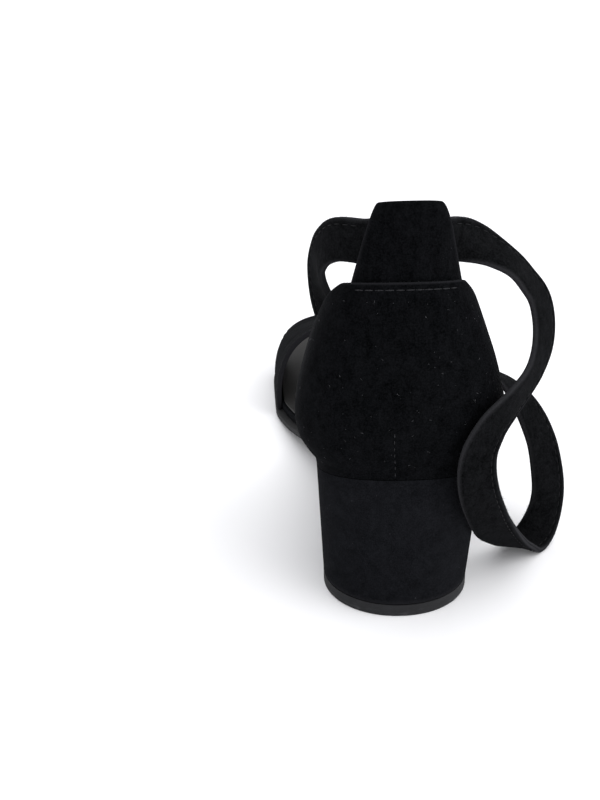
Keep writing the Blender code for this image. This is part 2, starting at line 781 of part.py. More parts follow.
def main():
    for old in list(bpy.data.objects):
        bpy.data.objects.remove(old)
    pieces = bpy.data.collections.new("heeled_sandal")
    cutters = bpy.data.collections.new("cutters")
    bpy.context.scene.collection.children.link(pieces)
    bpy.context.scene.collection.children.link(cutters)

    suede = material("black_suede", (0.012, 0.012, 0.014), 0.95)
    heel_cover = material("heel_suede", (0.014, 0.015, 0.018), 0.9)
    tie_suede = material("tie_suede", (0.012, 0.012, 0.013), 0.95)
    lift_rubber = material("lift_rubber", (0.02, 0.02, 0.022), 0.55)
    sole_rubber = material("sole_rubber", (0.018, 0.018, 0.018), 0.6)
    board_cover = material("board_cover", (0.013, 0.013, 0.014), 0.9)
    sock_leather = material("sock_leather", (0.03, 0.028, 0.027), 0.6)

    make_lift(pieces, lift_rubber)
    make_heel(pieces, heel_cover)
    make_outsole(pieces, sole_rubber)
    make_board(pieces, board_cover)
    make_sock(pieces, sock_leather)
    counter = make_counter(pieces, suede)
    make_casing(pieces, cutters, suede, counter)
    make_band(pieces, suede)
    make_tie_middle(pieces, tie_suede)
    cords = (
        make_tie("tie_right", TIE_RIGHT, pieces, tie_suede),
        make_tie("tie_left", TIE_LEFT, pieces, tie_suede),
    )
    stand_on_origin(pieces, cutters, cords)


main()
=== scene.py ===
"""Looks of a black suede sandal on a block heel, seen from behind on a white table.

Metres, +Z up, toes towards +Y. The shapes follow the same last as the part's source. They are
worked out from the rearmost point of the heel seat, and Last.placed moves a finished point into
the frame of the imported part.
"""

from __future__ import annotations

import bisect
import logging
import math
import random
from dataclasses import dataclass, field
from enum import Enum
from typing import Callable, NamedTuple, Sequence

import bmesh
import bpy
from mathutils import Matrix, Vector, noise

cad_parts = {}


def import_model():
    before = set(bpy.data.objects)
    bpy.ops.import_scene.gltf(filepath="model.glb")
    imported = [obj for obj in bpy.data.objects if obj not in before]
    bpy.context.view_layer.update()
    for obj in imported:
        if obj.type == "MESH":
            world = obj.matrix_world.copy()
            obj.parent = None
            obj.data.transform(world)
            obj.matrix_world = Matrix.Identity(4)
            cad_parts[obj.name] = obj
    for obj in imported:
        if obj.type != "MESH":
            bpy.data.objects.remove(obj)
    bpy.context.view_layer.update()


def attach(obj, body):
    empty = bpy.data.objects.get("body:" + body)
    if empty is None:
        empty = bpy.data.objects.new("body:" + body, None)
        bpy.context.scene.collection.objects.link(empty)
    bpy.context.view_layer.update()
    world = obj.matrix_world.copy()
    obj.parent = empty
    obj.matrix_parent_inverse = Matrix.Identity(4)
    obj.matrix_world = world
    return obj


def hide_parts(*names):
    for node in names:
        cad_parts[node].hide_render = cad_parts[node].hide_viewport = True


LOG = logging.getLogger("sandal")

MM = 0.001
WELD = 0.004 * MM
BODY = "root"
SMOOTH_ANGLE = math.radians(42)
CUT_EDGE_ANGLE = math.radians(50)

Colour = tuple[float, float, float]
Ring = list[Vector]


class SoleRow(NamedTuple):
    """One station of the sole's plan and profile."""

    along: float
    swing: float
    seat: float
    ball: float
    rise: float


class CupRow(NamedTuple):
    """One level of the heel cup."""

    up: float
    inner: float
    outer: float
    behind: float


class EdgeRow(NamedTuple):
    """One station of the counter's upper edge."""

    ahead: float
    height: float


class BandRow(NamedTuple):
    """One place across the toe band, from the big toe's side to the little toe's."""

    across: float
    rear: float
    front: float


class BandHeightRow(NamedTuple):
    """Height of the toe band at one station of the foot."""

    along: float
    height: float


class Crease(NamedTuple):
    """A soft trough or ridge on a surface, in millimetres and degrees."""

    across: float
    up: float
    half_length: float
    half_width: float
    turn: float
    height: float


SOLE = (
    SoleRow(0.00, 0.000, 0.500, 0.000, 1.000),
    SoleRow(0.10, 0.000, 0.500, 0.000, 0.885),
    SoleRow(0.20, 0.000, 0.485, 0.000, 0.755),
    SoleRow(0.30, 0.004, 0.400, 0.045, 0.560),
    SoleRow(0.40, 0.006, 0.250, 0.165, 0.310),
    SoleRow(0.50, 0.000, 0.080, 0.350, 0.130),
    SoleRow(0.60, -0.010, 0.000, 0.475, 0.030),
    SoleRow(0.66, -0.018, 0.000, 0.500, 0.000),
    SoleRow(0.78, -0.045, 0.000, 0.490, 0.000),
    SoleRow(0.88, -0.075, 0.000, 0.460, 0.000),
    SoleRow(1.00, -0.110, 0.000, 0.420, 0.000),
)

CUP = (
    CupRow(0.00, 1.000, 1.000, 0.000),
    CupRow(0.04, 1.015, 1.015, 0.004),
    CupRow(0.11, 1.110, 1.105, 0.028),
    CupRow(0.20, 1.210, 1.205, 0.048),
    CupRow(0.32, 1.250, 1.215, 0.058),
    CupRow(0.45, 1.220, 1.160, 0.052),
    CupRow(0.60, 1.130, 1.070, 0.032),
    CupRow(0.75, 1.020, 0.950, 0.000),
    CupRow(0.90, 0.900, 0.820, -0.036),
    CupRow(1.00, 0.835, 0.730, -0.054),
    CupRow(1.15, 0.765, 0.700, -0.066),
    CupRow(1.40, 0.720, 0.690, -0.060),
)

TOPLINE = (
    EdgeRow(0.00, 1.00),
    EdgeRow(0.065, 1.00),
    EdgeRow(0.10, 0.975),
    EdgeRow(0.145, 0.93),
    EdgeRow(0.20, 0.86),
    EdgeRow(0.30, 0.73),
    EdgeRow(0.42, 0.52),
    EdgeRow(0.56, 0.335),
    EdgeRow(0.72, 0.185),
    EdgeRow(0.87, 0.095),
    EdgeRow(1.00, 0.040),
)

BAND = (
    BandRow(0.00, 0.645, 0.862),
    BandRow(0.25, 0.652, 0.884),
    BandRow(0.50, 0.664, 0.893),
    BandRow(0.75, 0.640, 0.862),
    BandRow(1.00, 0.596, 0.802),
)

BAND_HEIGHTS = (
    BandHeightRow(0.58, 1.02),
    BandHeightRow(0.66, 0.92),
    BandHeightRow(0.76, 0.77),
    BandHeightRow(0.86, 0.60),
    BandHeightRow(0.92, 0.52),
)

# Ties: a point in millimetres, then the direction of the width
RIGHT_ROUTE = (
    (7.7, 9.5, 123.5, 0.0, 0.02, 1.0),
    (9.4, 10.6, 123.2, 0.0, 0.04, 1.0),
    (11.5, 12.9, 122.4, 0.0, 0.02, 1.0),
    (15.0, 16.4, 121.6, -0.04, 0.14, 0.98),
    (20.4, 17.9, 120.0, 0.02, 0.60, 0.80),
    (26.5, 18.6, 117.0, 0.22, 0.86, 0.46),
    (32.4, 19.6, 112.8, 0.38, 0.90, 0.14),
    (37.2, 20.6, 107.4, 0.48, 0.87, 0.00),
    (41.2, 21.0, 101.6, 0.58, 0.81, -0.10),
    (43.2, 20.5, 95.0, 0.61, 0.75, -0.22),
    (43.0, 18.0, 88.0, 0.59, 0.74, -0.30),
    (40.5, 14.0, 82.0, 0.52, 0.76, -0.38),
    (36.4, 9.0, 77.6, 0.44, 0.72, -0.54),
    (31.0, 3.6, 73.6, 0.46, 0.60, -0.64),
    (25.0, -0.6, 68.4, 0.66, 0.48, -0.56),
    (21.6, -1.9, 61.5, 0.84, 0.40, -0.36),
    (21.1, -1.5, 54.4, 0.92, 0.34, -0.20),
    (22.9, 1.0, 45.0, 0.95, 0.30, -0.08),
    (26.6, 5.6, 34.6, 0.95, 0.30, -0.02),
    (31.4, 13.2, 23.8, 0.96, 0.26, -0.06),
    (37.6, 22.6, 13.4, 0.98, 0.10, -0.14),
    (43.4, 30.8, 5.6, 0.98, -0.12, -0.08),
    (48.2, 36.2, 2.3, 0.96, -0.26, -0.06),
    (53.2, 40.8, 4.2, 0.99, -0.04, -0.04),
    (56.6, 44.4, 10.2, 0.98, 0.14, -0.08),
    (57.6, 45.8, 19.0, 0.94, 0.30, -0.16),
    (56.4, 47.0, 28.6, 0.90, 0.36, -0.22),
    (54.0, 48.4, 38.4, 0.86, 0.44, -0.26),
    (50.0, 50.6, 47.4, 0.80, 0.54, -0.22),
    (45.0, 54.0, 54.8, 0.66, 0.68, -0.28),
    (39.2, 58.4, 59.4, 0.42, 0.82, -0.38),
    (32.4, 62.8, 60.2, 0.10, 0.90, -0.42),
    (25.6, 67.0, 55.6, 0.10, 0.90, -0.42),
    (20.0, 72.8, 46.4, 0.34, 0.84, -0.42),
    (16.0, 81.4, 37.0, 0.70, 0.60, -0.36),
    (13.0, 92.2, 29.0, 0.94, 0.26, -0.14),
    (11.0, 105.0, 21.6, 0.99, 0.10, 0.00),
    (9.6, 120.0, 16.0, 1.00, 0.06, 0.00),
    (8.8, 136.0, 12.5, 1.00, 0.04, 0.00),
)

LEFT_ROUTE = (
    (-7.5, 9.0, 123.6, 0.0, 0.02, 1.0),
    (-9.8, 10.1, 123.2, 0.0, 0.06, 1.0),
    (-12.7, 12.6, 122.5, 0.0, 0.12, 0.99),
    (-16.2, 15.8, 122.2, 0.0, 0.10, 1.0),
    (-19.8, 19.8, 121.4, 0.04, 0.14, 0.99),
    (-23.0, 25.0, 118.6, 0.06, 0.22, 0.97),
    (-25.2, 31.4, 113.0, -0.10, 0.34, 0.93),
    (-25.0, 38.8, 103.6, -0.44, 0.36, 0.82),
    (-22.0, 46.2, 91.4, -0.78, 0.30, 0.54),
    (-17.8, 53.8, 77.8, -0.94, 0.18, 0.28),
    (-14.8, 62.0, 63.4, -0.99, 0.08, 0.12),
    (-13.2, 71.6, 50.4, -1.0, 0.02, 0.04),
    (-12.8, 82.6, 38.8, -1.0, 0.0, 0.0),
    (-12.8, 94.6, 28.8, -1.0, 0.0, 0.0),
    (-13.0, 107.6, 20.9, -1.0, 0.0, 0.0),
    (-13.4, 122.0, 15.6, -1.0, 0.0, 0.0),
    (-14.0, 137.0, 12.4, -1.0, 0.0, 0.0),
)

CUP_CREASES = (
    Crease(0, 57.4, 19, 1.4, 0, -0.22),
    Crease(0, 60.0, 17.6, 0.45, 0, -0.12),
    Crease(-3.4, 7.5, 10.0, 0.55, 90, -0.62),
    Crease(-5.4, 8, 10, 1.1, 90, 0.16),
    Crease(-1.4, 8, 10, 1.1, 90, 0.16),
    Crease(-23, 34, 15, 6, 74, -0.34),
    Crease(26, 30, 13, 5, -68, -0.30),
    Crease(-13, 5, 9, 2.0, 12, -0.18),
    Crease(15, 5, 9, 2.2, -9, -0.20),
    Crease(9, 44, 10, 4, -24, -0.16),
    Crease(-10, 22, 12, 5, 18, -0.14),
    Crease(62, 12, 12, 3.0, -18, -0.26),
    Crease(-60, 13, 12, 3.0, 16, -0.26),
)

BAND_CREASES = (
    Crease(50, 9, 16, 2.0, 4, -0.42),
    Crease(46, 15, 12, 2.2, -6, -0.26),
    Crease(72, 12, 9, 2.0, 12, -0.30),
    Crease(26, 13, 9, 2.2, -14, -0.28),
    Crease(56, 30, 14, 4.0, 5, 0.24),
    Crease(34, 38, 10, 3.0, 10, -0.16),
)


def blend(start: float, end: float, share: float) -> float:
    """Value at a share of the way from start to end."""
    return start + (end - start) * share


def soft_step(share: float) -> float:
    """Smooth rise from 0 to 1 as the share goes from 0 to 1."""
    share = min(max(share, 0.0), 1.0)
    return share * share * (3 - 2 * share)


def smooth_value(places: Sequence[float], values: Sequence[float], at: float) -> float:
    """Value on a curve through the given ones that never swings past them.

    Args:
        places: Rising places of the values.
        values: The values there.
        at: The place to read.

    Returns:
        The value at that place.
    """
    at = min(max(at, places[0]), places[-1])
    slopes = [(b - a) / (q - p) for p, q, a, b in zip(places, places[1:], values, values[1:])]
    inner = [2 * a * b / (a + b) if a * b > 0 else 0.0 for a, b in zip(slopes, slopes[1:])]
    tangents = [slopes[0], *inner, slopes[-1]]
    i = max(k for k in range(len(places) - 1) if at >= places[k])
    step = places[i + 1] - places[i]
    t = (at - places[i]) / step
    start = values[i] * (1 + 2 * t) * (1 - t) ** 2 + tangents[i] * step * t * (1 - t) ** 2
    end = values[i + 1] * (3 - 2 * t) * t**2 - tangents[i + 1] * step * (1 - t) * t**2
    return start + end


def read(rows: Sequence[NamedTuple], column: str, at: float) -> float:
    """A table's column at a place between its rows, by the rows' first column."""
    return smooth_value([row[0] for row in rows], [getattr(row, column) for row in rows], at)


def lengths_along(points: Sequence[Vector]) -> list[float]:
    """Distance of each point from the first, along the line through them all."""
    lengths = [0.0]
    for near, far in zip(points, points[1:]):
        lengths.append(lengths[-1] + (far - near).length)
    return lengths


def linked(name: str, data: bpy.types.ID) -> bpy.types.Object:
    """A new object in the scene."""
    made = bpy.data.objects.new(name, data)
    bpy.context.scene.collection.objects.link(made)
    return made


def rounded_end(distance: float, depth: float, fullness: float) -> float:
    """Share of the full width at a distance from a rounded end."""
    if distance >= depth:
        return 1.0
    return (1 - (1 - max(distance, 0.0) / depth) ** fullness) ** (1 / fullness)


def relief(creases: Sequence[Crease], across: float, up: float) -> float:
    """Height of all creases at a place.

    Args:
        creases: The creases of one surface.
        across: Place along the surface, metres.
        up: Place up the surface, metres.

    Returns:
        How far the surface stands out there, metres.
    """
    total = 0.0
    for crease in creases:
        turn = math.radians(crease.turn)
        a, b = across / MM - crease.across, up / MM - crease.up
        along = (a * math.cos(turn) + b * math.sin(turn)) / crease.half_length
        aside = (b * math.cos(turn) - a * math.sin(turn)) / crease.half_width
        total += crease.height * math.exp(-min(along**2 + aside**2, 60.0))
    return total * MM


@dataclass(frozen=True)
class Last:
    """The form that the shoe is made on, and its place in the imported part's frame."""

    length: float = 236 * MM
    ball_width: float = 83 * MM
    seat_width: float = 54 * MM
    seat_round: float = 22 * MM
    seat_fullness: float = 2.4
    toe_round: float = 50 * MM
    toe_fullness: float = 2.3
    seat_height: float = 51 * MM
    forefoot_height: float = 3.1 * MM
    tread_end: float = 0.77
    toe_spring: float = 7 * MM
    cup_height: float = 62 * MM
    wing_length: float = 108 * MM
    place: tuple[float, float, float] = (2.225 * MM, -116.74 * MM, 0.0)

    def placed(self, point: Vector) -> Vector:
        """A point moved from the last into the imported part's frame."""
        return point + Vector(self.place)

    def placed_rows(self, rows: Sequence[Ring]) -> list[Ring]:
        """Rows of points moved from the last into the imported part's frame."""
        return [[self.placed(point) for point in row] for row in rows]

    def sole_height(self, y: float) -> float:
        """Height of the plane that the upper and the board stand on."""
        along = y / self.length
        height = blend(self.forefoot_height, self.seat_height, read(SOLE, "rise", along))
        spring = max(min(along, 1.0) - self.tread_end, 0.0) / (1 - self.tread_end)
        return height + self.toe_spring * spring**2

    def swing(self, y: float) -> float:
        """Offset of the middle line to the outer side."""
        return read(SOLE, "swing", y / self.length) * self.ball_width

    def half_width(self, y: float) -> float:
        """Half width of the lasted shoe at its lower edge."""
        along = y / self.length
        seat = read(SOLE, "seat", along) * self.seat_width
        base = seat + read(SOLE, "ball", along) * self.ball_width
        heel = rounded_end(y, self.seat_round, self.seat_fullness)
        return base * heel * rounded_end(self.length - y, self.toe_round, self.toe_fullness)

    def station(self, turn: float) -> float:
        """Distance from the heel for a share of the rim's half turn."""
        return self.length * (1 - math.cos(math.pi * turn)) / 2

    def turn_at(self, y: float) -> float:
        """Share of the rim's half turn at a distance from the heel."""
        return math.acos(1 - 2 * y / self.length) / math.pi

    def rim_point(self, side: int, turn: float) -> Vector:
        """Point of the lower edge; past either end it goes on round the other side."""
        if turn < 0:
            side, turn = -side, -turn
        elif turn > 1:
            side, turn = -side, 2 - turn
        y = self.station(turn)
        return Vector((self.swing(y) + side * self.half_width(y), y, 0))

    def rim_inset(self, side: int, turn: float, inset: float) -> Vector:
        """Point at a distance inside the lower edge, square to it."""
        nudge = 0.004
        run = self.rim_point(side, turn + nudge) - self.rim_point(side, turn - nudge)
        inward = Vector((-run.y, run.x, 0)) * side
        return self.rim_point(side, turn) + inward.normalized() * inset

    def cup_spread(self, side: float, up: float) -> float:
        """Width of the heel cup at a height on one side, as a share of the seat's."""
        return read(CUP, "outer" if side > 0 else "inner", up / self.cup_height)

    def cup_point(self, side: int, y: float, up: float) -> Vector:
        """Point of the counter's outer face over the lower edge's point at y."""
        spread = self.cup_spread(side, up) - 1
        behind = read(CUP, "behind", up / self.cup_height) * self.seat_width
        fade = 1 - soft_step((y - self.seat_round) / (self.wing_length - self.seat_round))
        near = 1 - soft_step(y / (2 * self.seat_round))
        x = side * self.half_width(y) * (1 + spread * fade)
        return Vector((self.swing(y) + x, y - behind * near, self.sole_height(y) + up))

    def back_face(self, across: float, up: float) -> Vector:
        """Point of the counter's outer face near the middle of the back."""
        share = min(abs(across) / self.cup_spread(across, up) / (self.seat_width / 2), 1)
        reach = (1 - share**self.seat_fullness) ** (1 / self.seat_fullness)
        y = self.seat_round * (1 - reach)
        behind = read(CUP, "behind", up / self.cup_height) * self.seat_width
        return Vector((across, y - behind, self.sole_height(y) + up))

    def back_point(self, across: float, up: float, depth: float) -> Vector:
        """Point at a depth inside the counter's outer face, near the middle of the back.

        Args:
            across: Distance from the middle line.
            up: Height over the seat.
            depth: Distance inwards from the outer face.

        Returns:
            The point, still on the last.
        """
        nudge = 0.2 * MM
        sideways = self.back_face(across + nudge, up) - self.back_face(across - nudge, up)
        upwards = self.back_face(across, up + nudge) - self.back_face(across, up - nudge)
        return self.back_face(across, up) + upwards.cross(sideways).normalized() * depth


class Signal:
    """One shader value; arithmetic on it adds Math nodes to its material."""

    def __init__(self, bench: Bench, socket: bpy.types.NodeSocket) -> None:
        """Keeps the socket and the material that it belongs to."""
        self.bench = bench
        self.socket = socket

    def __add__(self, other: Signal | float) -> Signal:
        """Sum."""
        return self.bench.math("ADD", self, other)

    def __sub__(self, other: Signal | float) -> Signal:
        """Difference."""
        return self.bench.math("SUBTRACT", self, other)

    def __rsub__(self, other: float) -> Signal:
        """Difference with a number in front."""
        return self.bench.math("SUBTRACT", other, self)

    def __mul__(self, other: Signal | float) -> Signal:
        """Product."""
        return self.bench.math("MULTIPLY", self, other)

    __radd__ = __add__
    __rmul__ = __mul__

    def over(self, start: float, softness: float) -> Signal:
        """Mask that rises from 0 at start to 1 a softness further on."""
        return self.bench.math("MULTIPLY", self - start, 1 / softness, clamp=True)

    def under(self, end: float, softness: float) -> Signal:
        """Mask that falls from 1 a softness before the end to 0 at the end."""
        return self.bench.math("MULTIPLY", end - self, 1 / softness, clamp=True)


class Bench:
    """A material in the making: its nodes, its shader and the ways to add to them."""

    def __init__(self, name: str, constants: dict[str, float | tuple]) -> None:
        """Starts a material.

        Args:
            name: The material's name.
            constants: Values of the shader's sockets that are the same everywhere.
        """
        self.material = bpy.data.materials.new(name)
        self.material.use_nodes = True
        self.tree = self.material.node_tree
        self.shader = self.tree.nodes["Principled BSDF"]
        for socket, value in constants.items():
            self.shader.inputs[socket].default_value = value
        self.where = Signal(self, self.node("ShaderNodeTexCoord").outputs["Object"])

    def node(
        self, kind: str, settings: dict | None = None, sockets: dict | None = None
    ) -> bpy.types.Node:
        """Adds a node.

        Args:
            kind: The node's type.
            settings: Its properties, set first.
            sockets: Values or signals for its inputs, by name or number.

        Returns:
            The new node.
        """
        made = self.tree.nodes.new(kind)
        for key, value in (settings or {}).items():
            setattr(made, key, value)
        for key, value in (sockets or {}).items():
            self.feed(made.inputs[key], value)
        return made

    def feed(self, socket: bpy.types.NodeSocket, value: Signal | float | tuple) -> None:
        """Links a signal to a socket, or sets the socket's own value."""
        if isinstance(value, Signal):
            self.tree.links.new(value.socket, socket)
        else:
            socket.default_value = value

    def math(
        self, operation: str, a: Signal | float, b: Signal | float, clamp: bool = False
    ) -> Signal:
        """One Math node's result."""
        settings = {"operation": operation, "use_clamp": clamp}
        return Signal(self, self.node("ShaderNodeMath", settings, {0: a, 1: b}).outputs[0])

    def stretched(self, scale: tuple[float, float, float], turn: float = 0.0) -> Signal:
        """Object coordinates scaled along each axis and turned about Z."""
        sockets = {"Vector": self.where, "Scale": scale, "Rotation": (0, 0, turn)}
        return Signal(self, self.node("ShaderNodeMapping", None, sockets).outputs[0])

    def cloud(
        self,
        size: float,
        detail: float = 3.0,
        roughness: float = 0.5,
        distortion: float = 0.0,
        where: Signal | None = None,
    ) -> Signal:
        """Noise from 0 to 1.

        Args:
            size: Size of its patches, metres.
            detail: Number of finer layers.
            roughness: Strength of the finer layers.
            distortion: How much it is twisted.
            where: Coordinates, if not the object's own.

        Returns:
            The noise.
        """
        sockets = {
            "Vector": where or self.where,
            "Scale": 1 / size,
            "Detail": detail,
            "Roughness": roughness,
            "Distortion": distortion,
        }
        return Signal(self, self.node("ShaderNodeTexNoise", None, sockets).outputs[0])

    def specks(self, spacing: float, size: float, share: float) -> Signal:
        """Mask of small round specks scattered over the surface.

        Args:
            spacing: Mean distance between places for a speck, metres.
            size: Radius of a speck, metres.
            share: Share of the places that carry one.

        Returns:
            The mask.
        """
        sockets = {"Vector": self.where, "Scale": 1 / spacing}
        cells = self.node("ShaderNodeTexVoronoi", None, sockets)
        near = Signal(self, cells.outputs["Distance"]).under(size / spacing, 0.4 * size / spacing)
        pick = self.node("ShaderNodeSeparateColor", None, {0: Signal(self, cells.outputs["Color"])})
        return near * Signal(self, pick.outputs[0]).over(1 - share, 0.02)

    def mark(self, name: str) -> Signal:
        """The piece's own attribute of that name."""
        made = self.node("ShaderNodeAttribute", {"attribute_name": name})
        return Signal(self, made.outputs["Fac"])

    def mix(self, factor: Signal | float, start: Signal | Colour, end: Signal | Colour) -> Signal:
        """Colour between two others."""
        colours = [c if isinstance(c, Signal) else (*c, 1.0) for c in (start, end)]
        sockets = {0: factor, 6: colours[0], 7: colours[1]}
        made = self.node("ShaderNodeMix", {"data_type": "RGBA"}, sockets)
        return Signal(self, made.outputs[2])

    def dress(self, colour: Signal, rough: Signal, height: Signal, depth: float) -> None:
        """Feeds the shader.

        Args:
            colour: Base colour.
            rough: Roughness.
            height: Fine relief from 0 to 1.
            depth: How deep that relief is, metres.
        """
        sockets = {"Strength": 1.0, "Distance": depth, "Height": height}
        bump = self.node("ShaderNodeBump", None, sockets)
        self.feed(self.shader.inputs["Base Color"], colour)
        self.feed(self.shader.inputs["Roughness"], rough)
        self.feed(self.shader.inputs["Normal"], Signal(self, bump.outputs[0]))


@dataclass(frozen=True)
class Suede:
    """Suede with a short nap that lies in darker and lighter patches."""

    dark: Colour
    light: Colour
    # Paler colour at the cut edges: wear, plus painted highlight where the edge hairs catch light.
    edge_wear_and_highlight: Colour = (0.015, 0.015, 0.017)
    patch: float = 11 * MM
    patch_share: float = 0.45
    patch_softness: float = 0.22
    grain: float = 0.5 * MM
    depth: float = 0.2 * MM
    sheen: float = 0.008
    lint: float = 0.2
    lint_colour: Colour = (0.07, 0.07, 0.078)

    def make(self, name: str) -> bpy.types.Material:
        """Builds the material.

        Args:
            name: The material's name.

        Returns:
            The material.
        """
        bench = Bench(
            name,
            {
                "Specular IOR Level": 0.015,
                "Sheen Weight": self.sheen,
                "Sheen Roughness": 0.45,
                "Sheen Tint": (0.75, 0.8, 0.92, 1.0),
            },
        )
        patches = bench.cloud(self.patch, 4, 0.6, 1.4)
        strokes = bench.cloud(self.patch * 0.3, 3, 0.6, 0.8, bench.stretched((1, 1, 0.45), 0.4))
        nap = bench.cloud(self.grain, 3, 0.75, 0.3)
        pile = bench.cloud(self.grain * 3.2, 3, 0.7, 0.9)
        tone = (
            patches.over(0.51 - self.patch_softness / 2, self.patch_softness) * self.patch_share
            + strokes.over(0.38, 0.26) * (0.6 - self.patch_share) * 0.6
            + nap.over(0.43, 0.17) * 0.46
            + pile.over(0.42, 0.2) * 0.24
        )
        colour = bench.mix(tone, self.dark, self.light)
        # Edges take the paler colour: wear mixed with painted highlight of the edge hairs.
        edge = bench.mark("edge") * (0.35 + nap * 0.9)
        colour = bench.mix(edge, colour, self.edge_wear_and_highlight)
        lint = bench.specks(2.4 * MM, 0.13 * MM, self.lint) + bench.specks(
            8 * MM, 0.2 * MM, self.lint * 0.5
        )
        colour = bench.mix(lint * 0.7, colour, self.lint_colour)
        rough = 0.84 + nap * 0.16
        bench.dress(colour, rough, nap * 0.55 + pile * 0.45, self.depth)
        return bench.material


@dataclass(frozen=True)
class Rubber:
    """Matt moulded rubber, a little dusty, scuffed towards its lower edge."""

    dark: Colour
    light: Colour
    scuff: Colour = (0.07, 0.07, 0.075)
    rough: float = 0.62
    scuff_height: float = 3 * MM

    def make(self, name: str) -> bpy.types.Material:
        """Builds the material.

        Args:
            name: The material's name.

        Returns:
            The material.
        """
        bench = Bench(name, {"Specular IOR Level": 0.2})
        dust = bench.cloud(5 * MM, 5, 0.65, 0.8)
        fine = bench.cloud(0.4 * MM, 3, 0.6)
        drawn = bench.cloud(0.9 * MM, 3, 0.7, 0.2, bench.stretched((0.2, 0.2, 1.0)))
        split = bench.node("ShaderNodeSeparateXYZ", None, {0: bench.where})
        low = Signal(bench, split.outputs[2]).under(self.scuff_height, self.scuff_height)
        tone = dust.over(0.35, 0.4) * 0.5 + fine * 0.25 + drawn * 0.25
        colour = bench.mix(tone, self.dark, self.light)
        scuffs = low * drawn.over(0.54, 0.12) * 0.55 + bench.specks(4 * MM, 0.12 * MM, 0.12) * 0.5
        colour = bench.mix(scuffs, colour, self.scuff)
        bench.dress(colour, self.rough + dust * 0.2, fine * 0.4 + drawn * 0.6, 0.06 * MM)
        return bench.material


@dataclass(frozen=True)
class Leather:
    """Smooth lining leather with a fine pebbled grain and faint wear."""

    dark: Colour
    light: Colour
    pebble: float = 0.7 * MM

    def make(self, name: str) -> bpy.types.Material:
        """Builds the material.

        Args:
            name: The material's name.

        Returns:
            The material.
        """
        bench = Bench(name, {"Specular IOR Level": 0.3})
        sockets = {"Vector": bench.where, "Scale": 1 / self.pebble}
        cells = bench.node("ShaderNodeTexVoronoi", {"feature": "SMOOTH_F1"}, sockets)
        domes = Signal(bench, cells.outputs["Distance"])
        wear = bench.cloud(16 * MM, 4, 0.6, 0.7)
        fine = bench.cloud(0.5 * MM, 3, 0.6)
        colour = bench.mix(wear.over(0.4, 0.3) * 0.6 + fine * 0.3, self.dark, self.light)
        bench.dress(colour, 0.46 + wear * 0.2 + fine * 0.08, 1 - domes * 0.8, 0.07 * MM)
        return bench.material


@dataclass(frozen=True)
class Thread:
    """Twisted sewing thread, or a loose fibre."""

    dark: Colour
    light: Colour
    rough: float = 0.6

    def make(self, name: str) -> bpy.types.Material:
        """Builds the material.

        Args:
            name: The material's name.

        Returns:
            The material.
        """
        bench = Bench(name, {"Specular IOR Level": 0.15})
        twist = bench.cloud(0.35 * MM, 2, 0.6, 0.6)
        colour = bench.mix(twist.over(0.35, 0.3), self.dark, self.light)
        bench.dress(colour, self.rough + twist * 0.2, twist, 0.05 * MM)
        return bench.material


@dataclass(frozen=True)
class Table:
    """White table top with a very faint unevenness."""

    white: Colour = (0.93, 0.928, 0.94)
    shade: Colour = (0.90, 0.90, 0.915)

    def make(self, name: str) -> bpy.types.Material:
        """Builds the material.

        Args:
            name: The material's name.

        Returns:
            The material.
        """
        bench = Bench(name, {"Specular IOR Level": 0.25})
        broad = bench.cloud(120 * MM, 2, 0.5)
        colour = bench.mix(broad * 0.5, self.white, self.shade)
        bench.dress(colour, 0.5 + broad * 0.1, bench.cloud(1.2 * MM, 2, 0.5), 0.01 * MM)
        return bench.material


class Finish(Enum):
    """The finishes of the shoe, each with its record's slot and its maker."""

    COUNTER = (
        "black_suede",
        Suede((0.0002, 0.0003, 0.0004), (0.0050, 0.0053, 0.0062), patch_share=0.22),
    )
    HEEL = (
        "heel_suede",
        Suede(
            (0.0018, 0.0020, 0.0025),
            (0.0088, 0.0092, 0.0110),
            patch=10 * MM,
            patch_share=0.4,
            patch_softness=0.4,
            grain=0.36 * MM,
            lint=0.07,
        ),
    )
    TIE = (
        "tie_suede",
        Suede(
            (0.0003, 0.0004, 0.0005),
            (0.0074, 0.0077, 0.0085),
            # Tie edges paler still: wear plus painted highlight of the light caught by their fuzz.
            edge_wear_and_highlight=(0.03, 0.03, 0.033),
            patch=7 * MM,
            patch_share=0.2,
        ),
    )
    LIFT = ("lift_rubber", Rubber((0.008, 0.008, 0.009), (0.021, 0.0215, 0.0235)))
    SOLE = ("sole_rubber", Rubber((0.006, 0.006, 0.0065), (0.018, 0.018, 0.019), rough=0.66))
    BOARD = (
        "board_cover",
        Suede((0.0006, 0.0007, 0.0009), (0.0062, 0.0066, 0.0075), lint=0.02),
    )
    SOCK = ("sock_leather", Leather((0.008, 0.0077, 0.0077), (0.024, 0.0228, 0.0222)))

    @property
    def slot(self) -> str:
        """The record's material slot."""
        return self.value[0]


